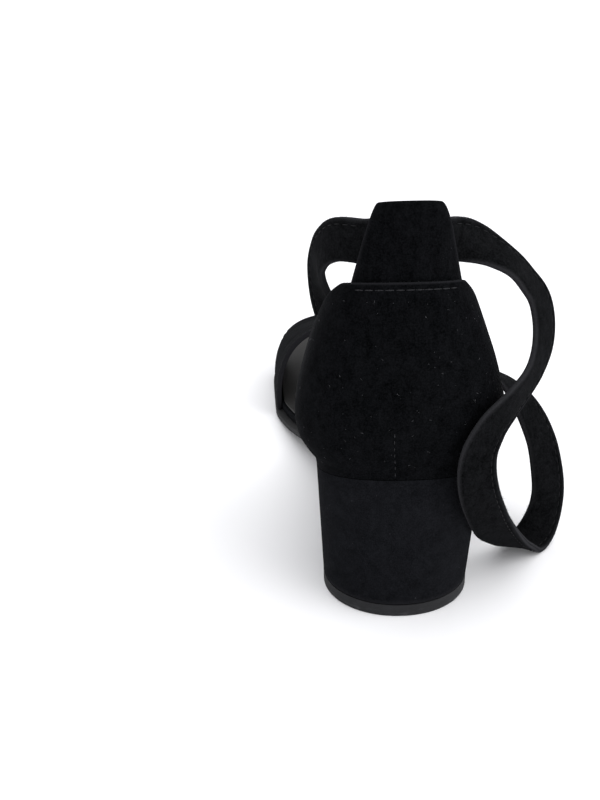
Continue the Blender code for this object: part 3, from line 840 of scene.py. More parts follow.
class Workshop:
    """Makes each finish once and turns meshes into pieces of the shoe."""

    def __init__(self) -> None:
        """Makes the finishes."""
        self.finishes = {finish: finish.value[1].make(finish.slot) for finish in Finish}
        self.thread = Thread((0.004, 0.004, 0.005), (0.024, 0.024, 0.027)).make("thread")
        tie_thread = Thread((0.002, 0.002, 0.0025), (0.011, 0.011, 0.0125))
        self.tie_thread = tie_thread.make("tie_thread")
        self.fibre = Thread((0.03, 0.03, 0.033), (0.13, 0.13, 0.14), 0.8).make("fibre")
        self.nap = Thread((0.004, 0.004, 0.005), (0.032, 0.032, 0.035), 0.9).make("nap_hair")

    def piece(
        self,
        name: str,
        mesh: bmesh.types.BMesh,
        finish: Finish,
        nodes: Sequence[str] = (),
        material: bpy.types.Material | None = None,
    ) -> bpy.types.Object:
        """Makes a piece that rides on the shoe.

        Args:
            name: The piece's name.
            mesh: Its mesh, used up here.
            finish: Its finish, for the material.
            nodes: CAD nodes that it stands for.
            material: Another material in place of the finish's own.

        Returns:
            The new object.
        """
        for face in mesh.faces:
            face.smooth = True
        data = bpy.data.meshes.new(name)
        mesh.to_mesh(data)
        mesh.free()
        data.set_sharp_from_angle(angle=SMOOTH_ANGLE)
        made = linked(name, data)
        data.materials.append(material or self.finishes[finish])
        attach(made, BODY)
        finish.slot
        if nodes:
            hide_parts(*nodes)
        LOG.info("%s: %d faces", name, len(data.polygons))
        return made


def woven(
    rows: Sequence[Ring], around: bool = False, edge: Callable[[int, int], float] | None = None
) -> bmesh.types.BMesh:
    """A grid laid on rows of places.

    Args:
        rows: Rows of equally many points.
        around: Whether each row closes on itself.
        edge: Share of the paler edge colour at a point, for wear and painted highlight, by row and
            column, from 0 to 1.

    Returns:
        The mesh; its faces look along row direction times column direction.
    """
    mesh = bmesh.new()
    count = len(rows[0])
    columns = count if around else count - 1
    bmesh.ops.create_grid(mesh, x_segments=columns, y_segments=len(rows) - 1, size=0.5)
    layer = mesh.verts.layers.float.new("edge")
    for vert in mesh.verts:
        column = round((vert.co.x + 0.5) * columns) % count
        row = round((vert.co.y + 0.5) * (len(rows) - 1))
        vert.co = rows[row][column]
        vert[layer] = edge(row, column) if edge else 0.0
    if around:
        bmesh.ops.remove_doubles(mesh, verts=mesh.verts, dist=WELD)
        bmesh.ops.recalc_face_normals(mesh, faces=mesh.faces)
    return mesh


def folded_in(ring: Ring, share: float) -> Ring:
    """A ring whose two mirrored sides are moved towards each other by a share."""
    count = len(ring)
    return [p.lerp((p + ring[(count - i) % count]) / 2, share) for i, p in enumerate(ring)]


def capped(rings: Sequence[Ring], height: Callable[[int, float], float]) -> list[Ring]:
    """Rings with both ends closed by rows that run to the middle line.

    Args:
        rings: Rings in plan.
        height: Height of a point, by the ring's number and its distance from the heel.

    Returns:
        Rings in space, from one middle line to the other.
    """
    shares = (1.0, 0.66, 0.33)
    numbered = [(0, folded_in(rings[0], share)) for share in shares]
    numbered += list(enumerate(rings))
    last = len(rings) - 1
    numbered += [(last, folded_in(rings[last], share)) for share in reversed(shares)]
    return [[Vector((p.x, p.y, height(number, p.y))) for p in ring] for number, ring in numbered]


def wall(piece: bpy.types.Object, thickness: float, soft: float, thin_share: float = 1.0) -> None:
    """Gives an open surface its wall inwards and softens the cut edges.

    Args:
        piece: The surface.
        thickness: Thickness of the wall.
        soft: Radius of the edges.
        thin_share: Share of the thickness where the vertex group named wall is 0.
    """
    solid = piece.modifiers.new("Wall", "SOLIDIFY")
    solid.thickness = thickness
    solid.offset = -1
    solid.use_even_offset = True
    if thin_share < 1:
        solid.vertex_group = "wall"
        solid.thickness_vertex_group = thin_share
    bevel = piece.modifiers.new("Edge", "BEVEL")
    bevel.width = soft
    bevel.segments = 2
    bevel.limit_method = "ANGLE"
    bevel.angle_limit = CUT_EDGE_ANGLE


@dataclass
class Stitching:
    """A row of sewn stitches."""

    spacing: float = 3.6 * MM
    length: float = 2.9 * MM
    radius: float = 0.22 * MM

    def sew(self, places: Sequence[tuple[Vector, Vector, Vector]], last: Last) -> bmesh.types.BMesh:
        """Makes the stitches.

        Args:
            places: A point, the row's direction and the way out of the surface for each stitch.
            last: The last that the points are on.

        Returns:
            The mesh of all stitches.
        """
        mesh = bmesh.new()
        mesh.verts.layers.float.new("edge")
        for point, run, out in places:
            run = run.normalized()
            out = (out - run * out.dot(run)).normalized()
            side = out.cross(run)
            turn = Matrix((run, side, out)).transposed().to_4x4()
            size = Matrix.Diagonal((self.length / 2, self.radius, self.radius, 1))
            where = Matrix.Translation(last.placed(point + out * self.radius * 0.2))
            bmesh.ops.create_uvsphere(
                mesh, u_segments=6, v_segments=5, radius=1, matrix=where @ turn @ size
            )
        return mesh


@dataclass
class Sole:
    """Outsole, insole board and sock, each a plate with softened edges."""

    last: Last
    shop: Workshop
    steps: int = 96
    softness: float = 0.5 * MM
    joint_gap: float = 0.3 * MM
    outsole_rim: float = 0.6 * MM
    board_thickness: float = 3.6 * MM
    sock_thickness: float = 1 * MM
    sock_margin: float = 0.9 * MM
    heel_length: float = 54 * MM
    cup_wall: float = 2.4 * MM
    band_wall: float = 2 * MM

    def rim_ring(self, inset: Callable[[float], float], first: float) -> Ring:
        """Closed ring in plan: start, outer side, end, inner side back again."""
        turns = [blend(first, 1, i / self.steps) for i in range(self.steps + 1)]
        sides = []
        for side in (1, -1):
            points = [
                self.last.rim_inset(side, turn, inset(self.last.station(turn))) for turn in turns
            ]
            sides.append(points)
        outer, inner = sides
        start = (outer[0] + inner[0]) / 2
        end = (outer[-1] + inner[-1]) / 2
        trim = 1 if first == 0 else 0
        return [start, *outer[trim:-1], end, *reversed(inner[trim:-1])]

    def board_inset(self, y: float) -> float:
        """Room for the upper's wall round the board."""
        start, end = self.last.wing_length, read(BAND, "rear", 1) * self.last.length
        share = soft_step((y - start) / (end - start))
        return blend(self.cup_wall, self.band_wall, share) + self.joint_gap

    def slab(
        self, inset: Callable[[float], float], bottom: float, top: float, first: float = 0
    ) -> bmesh.types.BMesh:
        """Plate between two heights over the sole's plane.

        Args:
            inset: Distance inside the lower edge, by the distance from the heel.
            bottom: Height of its underside.
            top: Height of its upper side.
            first: Share of the rim's half turn where it starts.

        Returns:
            The mesh.
        """
        soft = self.softness
        levels = (
            (soft, bottom),
            (soft * 0.3, bottom + soft * 0.3),
            (0.0, bottom + soft),
            (0.0, top - soft),
            (soft * 0.3, top - soft * 0.3),
            (soft, top),
        )
        rings = [self.rim_ring(lambda y, e=extra: inset(y) + e, first) for extra, _ in levels]
        rows = capped(rings, lambda i, y: self.last.sole_height(y) + levels[i][1])
        return woven(self.last.placed_rows(rows), around=True)

    def build(self) -> None:
        """Makes the three plates."""
        low = -self.last.forefoot_height
        first = self.last.turn_at(self.heel_length + self.joint_gap)
        outsole = self.slab(lambda y: -self.outsole_rim, low, -self.joint_gap, first)
        self.shop.piece("outsole_tread", outsole, Finish.SOLE, ["outsole"])
        board = self.slab(self.board_inset, 0, self.board_thickness)
        self.shop.piece("covered_board", board, Finish.BOARD, ["insole_board"])
        bottom = self.board_thickness + self.joint_gap
        margin = self.sock_margin
        sock = self.slab(
            lambda y: self.board_inset(y) + margin, bottom, bottom + self.sock_thickness
        )
        self.shop.piece("sock_lining", sock, Finish.SOCK, ["sock"])


@dataclass
class Heel:
    """Suede-covered block heel on its rubber lift."""

    last: Last
    shop: Workshop
    lift_height: float = 4.4 * MM
    length: float = 54 * MM
    base_width: float = 49 * MM
    base_length: float = 44 * MM
    base_behind: float = 1 * MM
    base_shift: float = -0.7 * MM
    base_fullness: float = 2.05
    corner: float = 4 * MM
    joint_gap: float = 0.3 * MM
    softness: float = 0.5 * MM
    steps: int = 46
    corner_steps: int = 9
    level_steps: int = 26

    def ring(self, level: float, inset: float) -> Ring:
        """Plan of the heel at a share of its height.

        Args:
            level: 0 at its floor end, 1 at the seat.
            inset: Distance inside the outline.

        Returns:
            The closed ring.
        """
        last = self.last
        length = blend(self.base_length, self.length, level) - 2 * inset
        fullness = blend(self.base_fullness, last.seat_fullness, level)
        scale = blend(self.base_width / last.seat_width, 1, level)
        back = blend(-self.base_behind, 0, level) + inset
        outer = []
        for i in range(1, self.steps + 1):
            share = (1 - math.cos(math.pi / 2 * i / self.steps)) * (1 - self.corner / length)
            y = share * length
            seat = read(SOLE, "seat", share * self.length / last.length)
            base = seat * last.seat_width * scale - inset
            outer.append(Vector((base * rounded_end(y, last.seat_round, fullness), back + y, 0)))
        turn_in = outer[-1]
        for i in range(1, self.corner_steps + 1):
            angle = math.pi / 2 * i / self.corner_steps
            x = turn_in.x - self.corner * (1 - math.cos(angle))
            outer.append(Vector((x, turn_in.y + self.corner * math.sin(angle), 0)))
        inner = [Vector((-point.x, point.y, 0)) for point in outer]
        ends = (Vector((0, back, 0)), Vector((0, outer[-1].y, 0)))
        shift = Vector((blend(self.base_shift, 0, level), 0, 0))
        return [point + shift for point in (ends[0], *outer, ends[1], *reversed(inner))]

    def build(self) -> None:
        """Makes the block and the lift."""
        last = self.last
        foot = self.lift_height + self.joint_gap
        levels = [(0, 0.25 * MM), (0.004, 0.08 * MM), (0.012, 0)]
        for i in range(self.level_steps + 1):
            levels.append((blend(0.04, 0.97, i / self.level_steps), 0))
        levels.append((1, 0.05 * MM))
        rings = [self.ring(level, inset) for level, inset in levels]

        def height(number: int, y: float) -> float:
            """Height of the block's surface at a ring."""
            return blend(foot, last.sole_height(y) - self.joint_gap, levels[number][0])

        rows = last.placed_rows(capped(rings, height))

        def edge_wear_and_highlight(row: int, column: int) -> float:
            """Wear of the cover round its lower edge."""
            return 0.5 if 3 <= row <= 5 else 0.0

        block = woven(rows, around=True, edge=edge_wear_and_highlight)
        self.shop.piece("heel_cover", block, Finish.HEEL, ["heel_block"])

        soft = self.softness
        steps = (
            (soft, 0),
            (soft * 0.3, soft * 0.3),
            (0, soft),
            (0, self.lift_height / 2),
            (0.05 * MM, self.lift_height),
        )
        rings = [self.ring(0, inset) for inset, _ in steps]
        rows = last.placed_rows(capped(rings, lambda i, y: steps[i][1]))
        self.shop.piece("rubber_lift", woven(rows, around=True), Finish.LIFT, ["top_lift"])


@dataclass
class HeelCup:
    """Closed heel part of the upper, with its sewn edge and its short back seam."""

    last: Last
    shop: Workshop
    thickness: float = 2.4 * MM
    thin_share: float = 0.47
    thinned_over: float = 1.2 * MM
    edge_radius: float = 0.35 * MM
    worn_height: float = 0.7 * MM
    columns: int = 112
    rows: int = 62
    even_share: float = 0.4
    crowding: float = 1.5
    tab_half_width: float = 18.4 * MM
    tab_tuck: float = 7.6 * MM
    sewn_half_width: float = 17.4 * MM
    sewn_below: float = 2.0 * MM
    seam_arc: float = -3.4 * MM
    seam_stitches: int = 7
    seam_start: float = 1.6 * MM
    seam_pitch: float = 2.5 * MM
    arcs: list[float] = field(default_factory=list)
    depths: list[float] = field(default_factory=list)

    def __post_init__(self) -> None:
        """Measures lengths along the lower edge."""
        samples = 2400
        end = self.last.turn_at(self.last.wing_length)
        points = [self.last.rim_point(1, end * i / samples) for i in range(samples + 1)]
        self.arcs = lengths_along(points)
        self.depths = [point.y for point in points]

    def depth_at(self, arc: float) -> float:
        """Distance from the back for a length along the lower edge."""
        i = min(max(bisect.bisect_left(self.arcs, abs(arc)), 1), len(self.arcs) - 1)
        share = (abs(arc) - self.arcs[i - 1]) / (self.arcs[i] - self.arcs[i - 1])
        return blend(self.depths[i - 1], self.depths[i], min(share, 1.0))

    def top(self, arc: float) -> float:
        """Height of the upper edge over the lower one."""
        ahead = self.depth_at(arc) / self.last.wing_length
        return read(TOPLINE, "height", ahead) * self.last.cup_height

    def plain(self, arc: float, up: float) -> Vector:
        """Point of the outer face without its creases."""
        return self.last.cup_point(1 if arc >= 0 else -1, self.depth_at(arc), up)

    def outward(self, arc: float, up: float) -> Vector:
        """Way out of the outer face."""
        nudge = 0.6 * MM
        sideways = self.plain(arc + nudge, up) - self.plain(arc - nudge, up)
        upwards = self.plain(arc, up + nudge) - self.plain(arc, max(up - nudge, 0))
        return sideways.cross(upwards).normalized()

    def point(self, arc: float, up: float) -> Vector:
        """Point of the outer face with its creases and slight unevenness."""
        plain = self.plain(arc, up)
        uneven = noise.noise(plain * 46) * 0.16 * MM + noise.noise(plain * 120) * 0.05 * MM
        hold = soft_step(up / (5 * MM))
        return plain + self.outward(arc, up) * (relief(CUP_CREASES, arc, up) + uneven * hold)

    def build(self) -> None:
        """Makes the cup and its stitches."""
        reach = self.arcs[-1]
        places = []
        for i in range(-self.columns, self.columns + 1):
            share = i / self.columns
            places.append(reach * (self.even_share * share + (1 - self.even_share) * share**3))
        heights = [1 - (1 - j / self.rows) ** self.crowding for j in range(self.rows + 1)]
        rows = [
            [self.last.placed(self.point(arc, level * self.top(arc))) for arc in places]
            for level in heights
        ]

        def edge_wear_and_highlight(row: int, column: int) -> float:
            """Wear and painted highlight along the upper edge."""
            below = (1 - heights[row]) * self.top(places[column])
            return 1 - soft_step(below / self.worn_height)

        cup = self.shop.piece("heel_cup", woven(rows, edge=edge_wear_and_highlight), Finish.COUNTER, ["counter"])
        group = cup.vertex_groups.new(name="wall")
        origin = Vector(self.last.place)
        top = self.last.seat_height + self.last.cup_height
        for vert in cup.data.vertices:
            spot = vert.co - origin
            aside = soft_step((abs(spot.x) - self.tab_half_width) / self.thinned_over)
            below = soft_step((top - self.tab_tuck - spot.z) / self.thinned_over)
            ahead = 1.0 if spot.y > self.last.seat_round else 0.0
            group.add([vert.index], max(aside, below, ahead), "REPLACE")
        wall(cup, self.thickness, self.edge_radius, self.thin_share)
        self.sew()

    def sew(self) -> None:
        """Sews the row under the back's upper edge and the short back seam."""
        stitching = Stitching()
        count = round(2 * self.sewn_half_width / stitching.spacing)
        places = []
        for i in range(count + 1):
            arc = blend(-self.sewn_half_width, self.sewn_half_width, i / count)
            up = self.top(arc) - self.sewn_below
            run = self.point(arc + MM / 2, up) - self.point(arc - MM / 2, up)
            places.append((self.point(arc, up), run, self.outward(arc, up)))
        mesh = stitching.sew(places, self.last)
        self.shop.piece("stitches_counter", mesh, Finish.COUNTER, (), self.shop.thread)
        places = []
        for i in range(self.seam_stitches):
            up = self.seam_start + self.seam_pitch * i
            run = self.point(self.seam_arc, up + MM / 2) - self.point(self.seam_arc, up - MM / 2)
            places.append((self.point(self.seam_arc, up), run, self.outward(self.seam_arc, up)))
        mesh = Stitching(length=1.5 * MM, radius=0.2 * MM).sew(places, self.last)
        self.shop.piece("stitches_back_seam", mesh, Finish.COUNTER, (), self.shop.thread)


@dataclass
class TabCasing:
    """Tab at the top of the back, folded into a tunnel for the tie."""

    last: Last
    shop: Workshop
    tab_height: float = 84 * MM
    top_width: float = 23 * MM
    foot_width: float = 35.4 * MM
    tuck: float = 7 * MM
    cover: float = 1.2 * MM
    joint_gap: float = 0.3 * MM
    layer: float = 1.1 * MM
    layer_gap: float = 0.06 * MM
    edge_radius: float = 0.22 * MM
    tunnel_depth: float = 3.6 * MM
    fullness: float = 2.6
    fold_steps: int = 44
    across_steps: int = 44
    tie_length: float = 15 * MM

    def half_width(self, up: float) -> float:
        """Half width of the tab at a height over the seat."""
        foot = self.last.cup_height
        share = max(up - foot, 0) / (self.tab_height - foot)
        return blend(self.foot_width, self.top_width, share) / 2

    def middle(self) -> tuple[float, float]:
        """Height and depth of the middle of the tunnel."""
        low = self.last.cup_height + self.layer
        high = self.tab_height - self.layer
        return (low + high) / 2, self.cover + self.joint_gap + self.layer + self.tunnel_depth / 2

    def profile(self) -> list[tuple[float, float]]:
        """Section from the outer foot over the fold to the inner one, as heights and depths."""
        middle_up, middle_depth = self.middle()
        half_height = (self.tab_height - self.last.cup_height) / 2
        half_depth = self.tunnel_depth / 2 + self.layer
        outer = middle_depth - half_depth
        inner = outer + 2 * self.layer + self.layer_gap
        foot = self.last.cup_height - self.tuck
        points = [(blend(foot, self.last.cup_height, i / 5), outer) for i in range(6)]
        turned = 0.68
        for i in range(self.fold_steps + 1):
            angle = 2 * math.pi * turned * i / self.fold_steps
            across, up = math.cos(angle), math.sin(angle)
            power = 2 / self.fullness
            high = math.copysign(abs(up) ** power, up) * half_height
            deep = -math.copysign(abs(across) ** power, across) * half_depth
            points.append((middle_up + high, middle_depth + deep))
        low = self.last.cup_height - self.layer
        points += [(blend(low, foot, i / 4), inner) for i in range(5)]
        return points

    def build(self) -> None:
        """Makes the folded tab and the stretch of the tie inside it."""
        profile = self.profile()
        rows = []
        for up, depth in profile:
            width = self.half_width(up)
            shares = [blend(-1, 1, i / self.across_steps) for i in range(self.across_steps + 1)]
            ring = []
            for share in shares:
                point = self.last.back_point(share * width, up, depth)
                sag = noise.noise(point * 70) * 0.12 * MM
                ring.append(self.last.placed(point + Vector((0, sag, 0))))
            rows.append(ring)

        def edge_wear_and_highlight(row: int, column: int) -> float:
            """Wear at the tab's two cut sides."""
            side = min(column, self.across_steps - column)
            return 0.8 if side == 0 else 0.25 if side == 1 else 0.0

        tab = self.shop.piece("folded_tab", woven(rows, edge=edge_wear_and_highlight), Finish.COUNTER, ["tab_casing"])
        wall(tab, self.layer * 0.97, self.edge_radius)
        up, depth = self.middle()
        steps = 12
        places = [self.tie_length * (i / steps - 0.5) for i in range(steps + 1)]
        points = [self.last.back_point(x, up, depth) for x in places]
        widths = [
            self.last.back_point(x, up + MM, depth) - self.last.back_point(x, up, depth)
            for x in places
        ]
        inside = Strap(self.last, self.shop).band(points, widths, False)
        self.shop.piece("tie_in_tab", inside, Finish.TIE, ["tie_middle"])


@dataclass
class ToeBand:
    """Wide band over the toes, sewn along both edges."""

    last: Last
    shop: Workshop
    thickness: float = 2 * MM
    edge_radius: float = 0.35 * MM
    height: float = 45 * MM
    fullness: float = 2.35
    ridge: float = -0.07
    across_steps: int = 92
    along_steps: int = 44
    sewn_in: float = 2.2 * MM
    sewn_from: float = 0.03
    crease_width: float = 100 * MM
    crease_length: float = 52 * MM

    def plain(self, share: float, level: float) -> Vector:
        """Point of the outer face without its creases."""
        last = self.last
        rear = read(BAND, "rear", share) * last.length
        front = read(BAND, "front", share) * last.length
        angle = math.pi * share
        side = -math.copysign(abs(math.cos(angle)) ** (2 / self.fullness), math.cos(angle))
        rise = max(math.sin(angle), 0.0) ** (2 / self.fullness) if 1e-6 < share < 1 - 1e-6 else 0
        y = blend(rear, front, level)
        x = last.swing(y) + side * last.half_width(y) + self.ridge * last.ball_width * rise**2
        height = read(BAND_HEIGHTS, "height", y / last.length) * self.height
        return Vector((x, y, last.sole_height(y) + rise * height))

    def outward(self, share: float, level: float) -> Vector:
        """Way out of the outer face."""
        low, high = max(share - 0.01, 0), min(share + 0.01, 1)
        near, far = max(level - 0.02, 0), min(level + 0.02, 1)
        sideways = self.plain(high, level) - self.plain(low, level)
        ahead = self.plain(share, far) - self.plain(share, near)
        return sideways.cross(ahead).normalized()

    def point(self, share: float, level: float) -> Vector:
        """Point of the outer face with its creases."""
        plain = self.plain(share, level)
        fade = soft_step(min(share, 1 - share) / 0.08)
        lift = relief(BAND_CREASES, share * self.crease_width, level * self.crease_length)
        uneven = noise.noise(plain * 40) * 0.2 * MM
        return plain + self.outward(share, level) * (lift + uneven) * fade

    def build(self) -> None:
        """Makes the band and its two rows of stitches."""
        rows = []
        for j in range(self.along_steps + 1):
            level = j / self.along_steps
            shares = [i / self.across_steps for i in range(self.across_steps + 1)]
            rows.append([self.last.placed(self.point(share, level)) for share in shares])

        def edge_wear_and_highlight(row: int, column: int) -> float:
            """Wear along the front and the rear edge."""
            return 1.0 if row in (0, self.along_steps) else 0.0

        mesh = woven(rows, edge=edge_wear_and_highlight)
        band = self.shop.piece("band_over_toes", mesh, Finish.COUNTER, ["toe_band"])
        wall(band, self.thickness, self.edge_radius)
        stitching = Stitching()
        nudge = 0.005
        places = []
        for rear_row in (True, False):
            share = self.sewn_from
            while share < 1 - self.sewn_from:
                rear = read(BAND, "rear", share)
                length = (read(BAND, "front", share) - rear) * self.last.length
                level = self.sewn_in / length if rear_row else 1 - self.sewn_in / length
                here, ahead = self.point(share, level), self.point(share + nudge, level)
                step = (ahead - here).length / nudge
                run = ahead - self.point(share - nudge, level)
                places.append((here, run, self.outward(share, level)))
                share += stitching.spacing / step
        mesh = stitching.sew(places, self.last)
        self.shop.piece("stitches_toe_band", mesh, Finish.COUNTER, (), self.shop.thread)


@dataclass
class Strap:
    """Flat tie of two layers of suede, folded at one edge and sewn near the other."""

    last: Last
    shop: Workshop
    width: float = 13 * MM
    thickness: float = 2.2 * MM
    corner: float = 1.6 * MM
    spacing: float = 1.25 * MM
    path_spacing: float = 10.5 * MM
    seam: float = 4.45 * MM
    sewn_sign: int = 1

    def section(self) -> list[tuple[float, float]]:
        """Section of the strap as shares of its half width and half thickness."""
        upper = [
            (0.962, 0.0),
            (1.0, 0.16),
            (1.0, 0.55),
            (0.978, 0.86),
            (0.93, 1.0),
            (0.80, 1.02),
            (0.735, 0.96),
            (0.69, 0.82),
            (0.645, 0.96),
            (0.58, 1.02),
            (0.36, 1.0),
            (0.12, 0.98),
            (-0.12, 0.98),
            (-0.36, 1.0),
            (-0.62, 1.02),
            (-0.84, 0.99),
            (-0.94, 0.82),
            (-0.99, 0.45),
            (-1.0, 0.0),
        ]
        lower = [(across, -through) for across, through in reversed(upper[1:-1])]
        return [(across * self.sewn_sign, through) for across, through in (*upper, *lower)]

    def frames(
        self, points: Sequence[Vector], widths: Sequence[Vector]
    ) -> list[tuple[Vector, Vector, Vector]]:
        """Direction, width and thickness of the strap at each point."""
        made = []
        for i, width in enumerate(widths):
            run = (points[min(i + 1, len(points) - 1)] - points[max(i - 1, 0)]).normalized()
            across = (width - run * width.dot(run)).normalized()
            made.append((run, across, run.cross(across)))
        return made

    def band(
        self, points: Sequence[Vector], widths: Sequence[Vector], cut_end: bool
    ) -> bmesh.types.BMesh:
        """Skins the strap along its points.

        Args:
            points: Its middle line, on the last.
            widths: Direction of its width at each point.
            cut_end: Whether the far end has rounded corners.

        Returns:
            The closed mesh.
        """
        section = self.section()
        rows, slim = [], []
        frames = self.frames(points, widths)
        travelled = lengths_along(points)
        total = travelled[-1]
        stations = [(0, 0.0), *[(i, 1.0) for i in range(len(points))], (len(points) - 1, 0.0)]
        for i, fullness in stations:
            run, across, through = frames[i]
            left = total - travelled[i]
            half = self.width / 2
            if cut_end and left < self.corner:
                half -= self.corner * (1 - math.sqrt(max(1 - (1 - left / self.corner) ** 2, 0)))
            ripple = noise.noise(points[i] * 60) * 0.12 * MM
            half += noise.noise(points[i] * 35 + Vector((3, 1, 2))) * 0.12 * MM
            thick = self.thickness / 2 * fullness
            ring = []
            for a, b in section:
                aside = across * a * half + through * (b * thick + ripple * a)
                ring.append(self.last.placed(points[i] + aside))
            rows.append(ring)
            slim.append(fullness)

        def edge_wear_and_highlight(row: int, column: int) -> float:
            """Wear and painted highlight at the cut and the folded edge, and at the cut end."""
            share = abs(section[column][0])
            if slim[row] == 0:
                return 0.9
            return 0.85 if share > 0.97 else 0.3 if share > 0.92 else 0.0

        return woven(rows, around=True, edge=edge_wear_and_highlight)

    def route(
        self, rows: Sequence[Sequence[float]], spacing: float
    ) -> tuple[list[Vector], list[Vector]]:
        """Even points and width directions on a smooth curve through a route's rows.

        Args:
            rows: Points in millimetres, each with the direction of the width.
            spacing: Distance between the points.

        Returns:
            The points and the directions.
        """
        knots = [Vector(row[:3]) * MM for row in rows]
        widths = [Vector(row[3:]).normalized() for row in rows]
        places = lengths_along(knots)

        def tangent(values: Sequence[Vector], i: int) -> Vector:
            """Slope of the curve at a row."""
            before, after = max(i - 1, 0), min(i + 1, len(values) - 1)
            return (values[after] - values[before]) / (places[after] - places[before])

        def on_curve(values: Sequence[Vector], at: float) -> Vector:
            """Value of the curve at a distance along it."""
            i = max(k for k in range(len(places) - 1) if at >= places[k])
            step = places[i + 1] - places[i]
            t = (at - places[i]) / step
            start = values[i] * ((1 + 2 * t) * (1 - t) ** 2)
            end = values[i + 1] * ((3 - 2 * t) * t**2)
            leave = tangent(values, i) * (step * t * (1 - t) ** 2)
            arrive = tangent(values, i + 1) * (step * (1 - t) * t**2)
            return start + end + leave - arrive

        count = math.ceil(places[-1] / spacing)
        stops = [places[-1] * i / count for i in range(count + 1)]
        return (
            [on_curve(knots, stop) for stop in stops],
            [on_curve(widths, stop).normalized() for stop in stops],
        )

    def build(self, name: str, node: str, rows: Sequence[Sequence[float]]) -> None:
        """Args:
            name: The tie's name.
            node: The CAD node that it stands for.
            rows: Its route.
        """
        points, widths = self.route(rows, self.spacing)
        tie = self.shop.piece(name, self.band(points, widths, True), Finish.TIE, [node])
        stitching = Stitching(spacing=3.1 * MM, length=2.5 * MM, radius=0.17 * MM)
        line, directions = self.route(rows, stitching.spacing)
        frames = self.frames(line, directions)
        places = []
        for point, (run, across, through) in list(zip(line, frames))[3:-1]:
            seam = point + across * self.sewn_sign * self.seam
            for face in (1, -1):
                places.append((seam + through * face * self.thickness * 0.42, run, through * face))
        mesh = stitching.sew(places, self.last)
        stitches = self.shop.piece(f"stitches_{name}", mesh, Finish.TIE, (), self.shop.tie_thread)
        path = [self.last.placed(point) for point in self.route(rows, self.path_spacing)[0]]
        length = lengths_along(path)[-1]
        tuple(path[0])
        [tuple(point) for point in path]


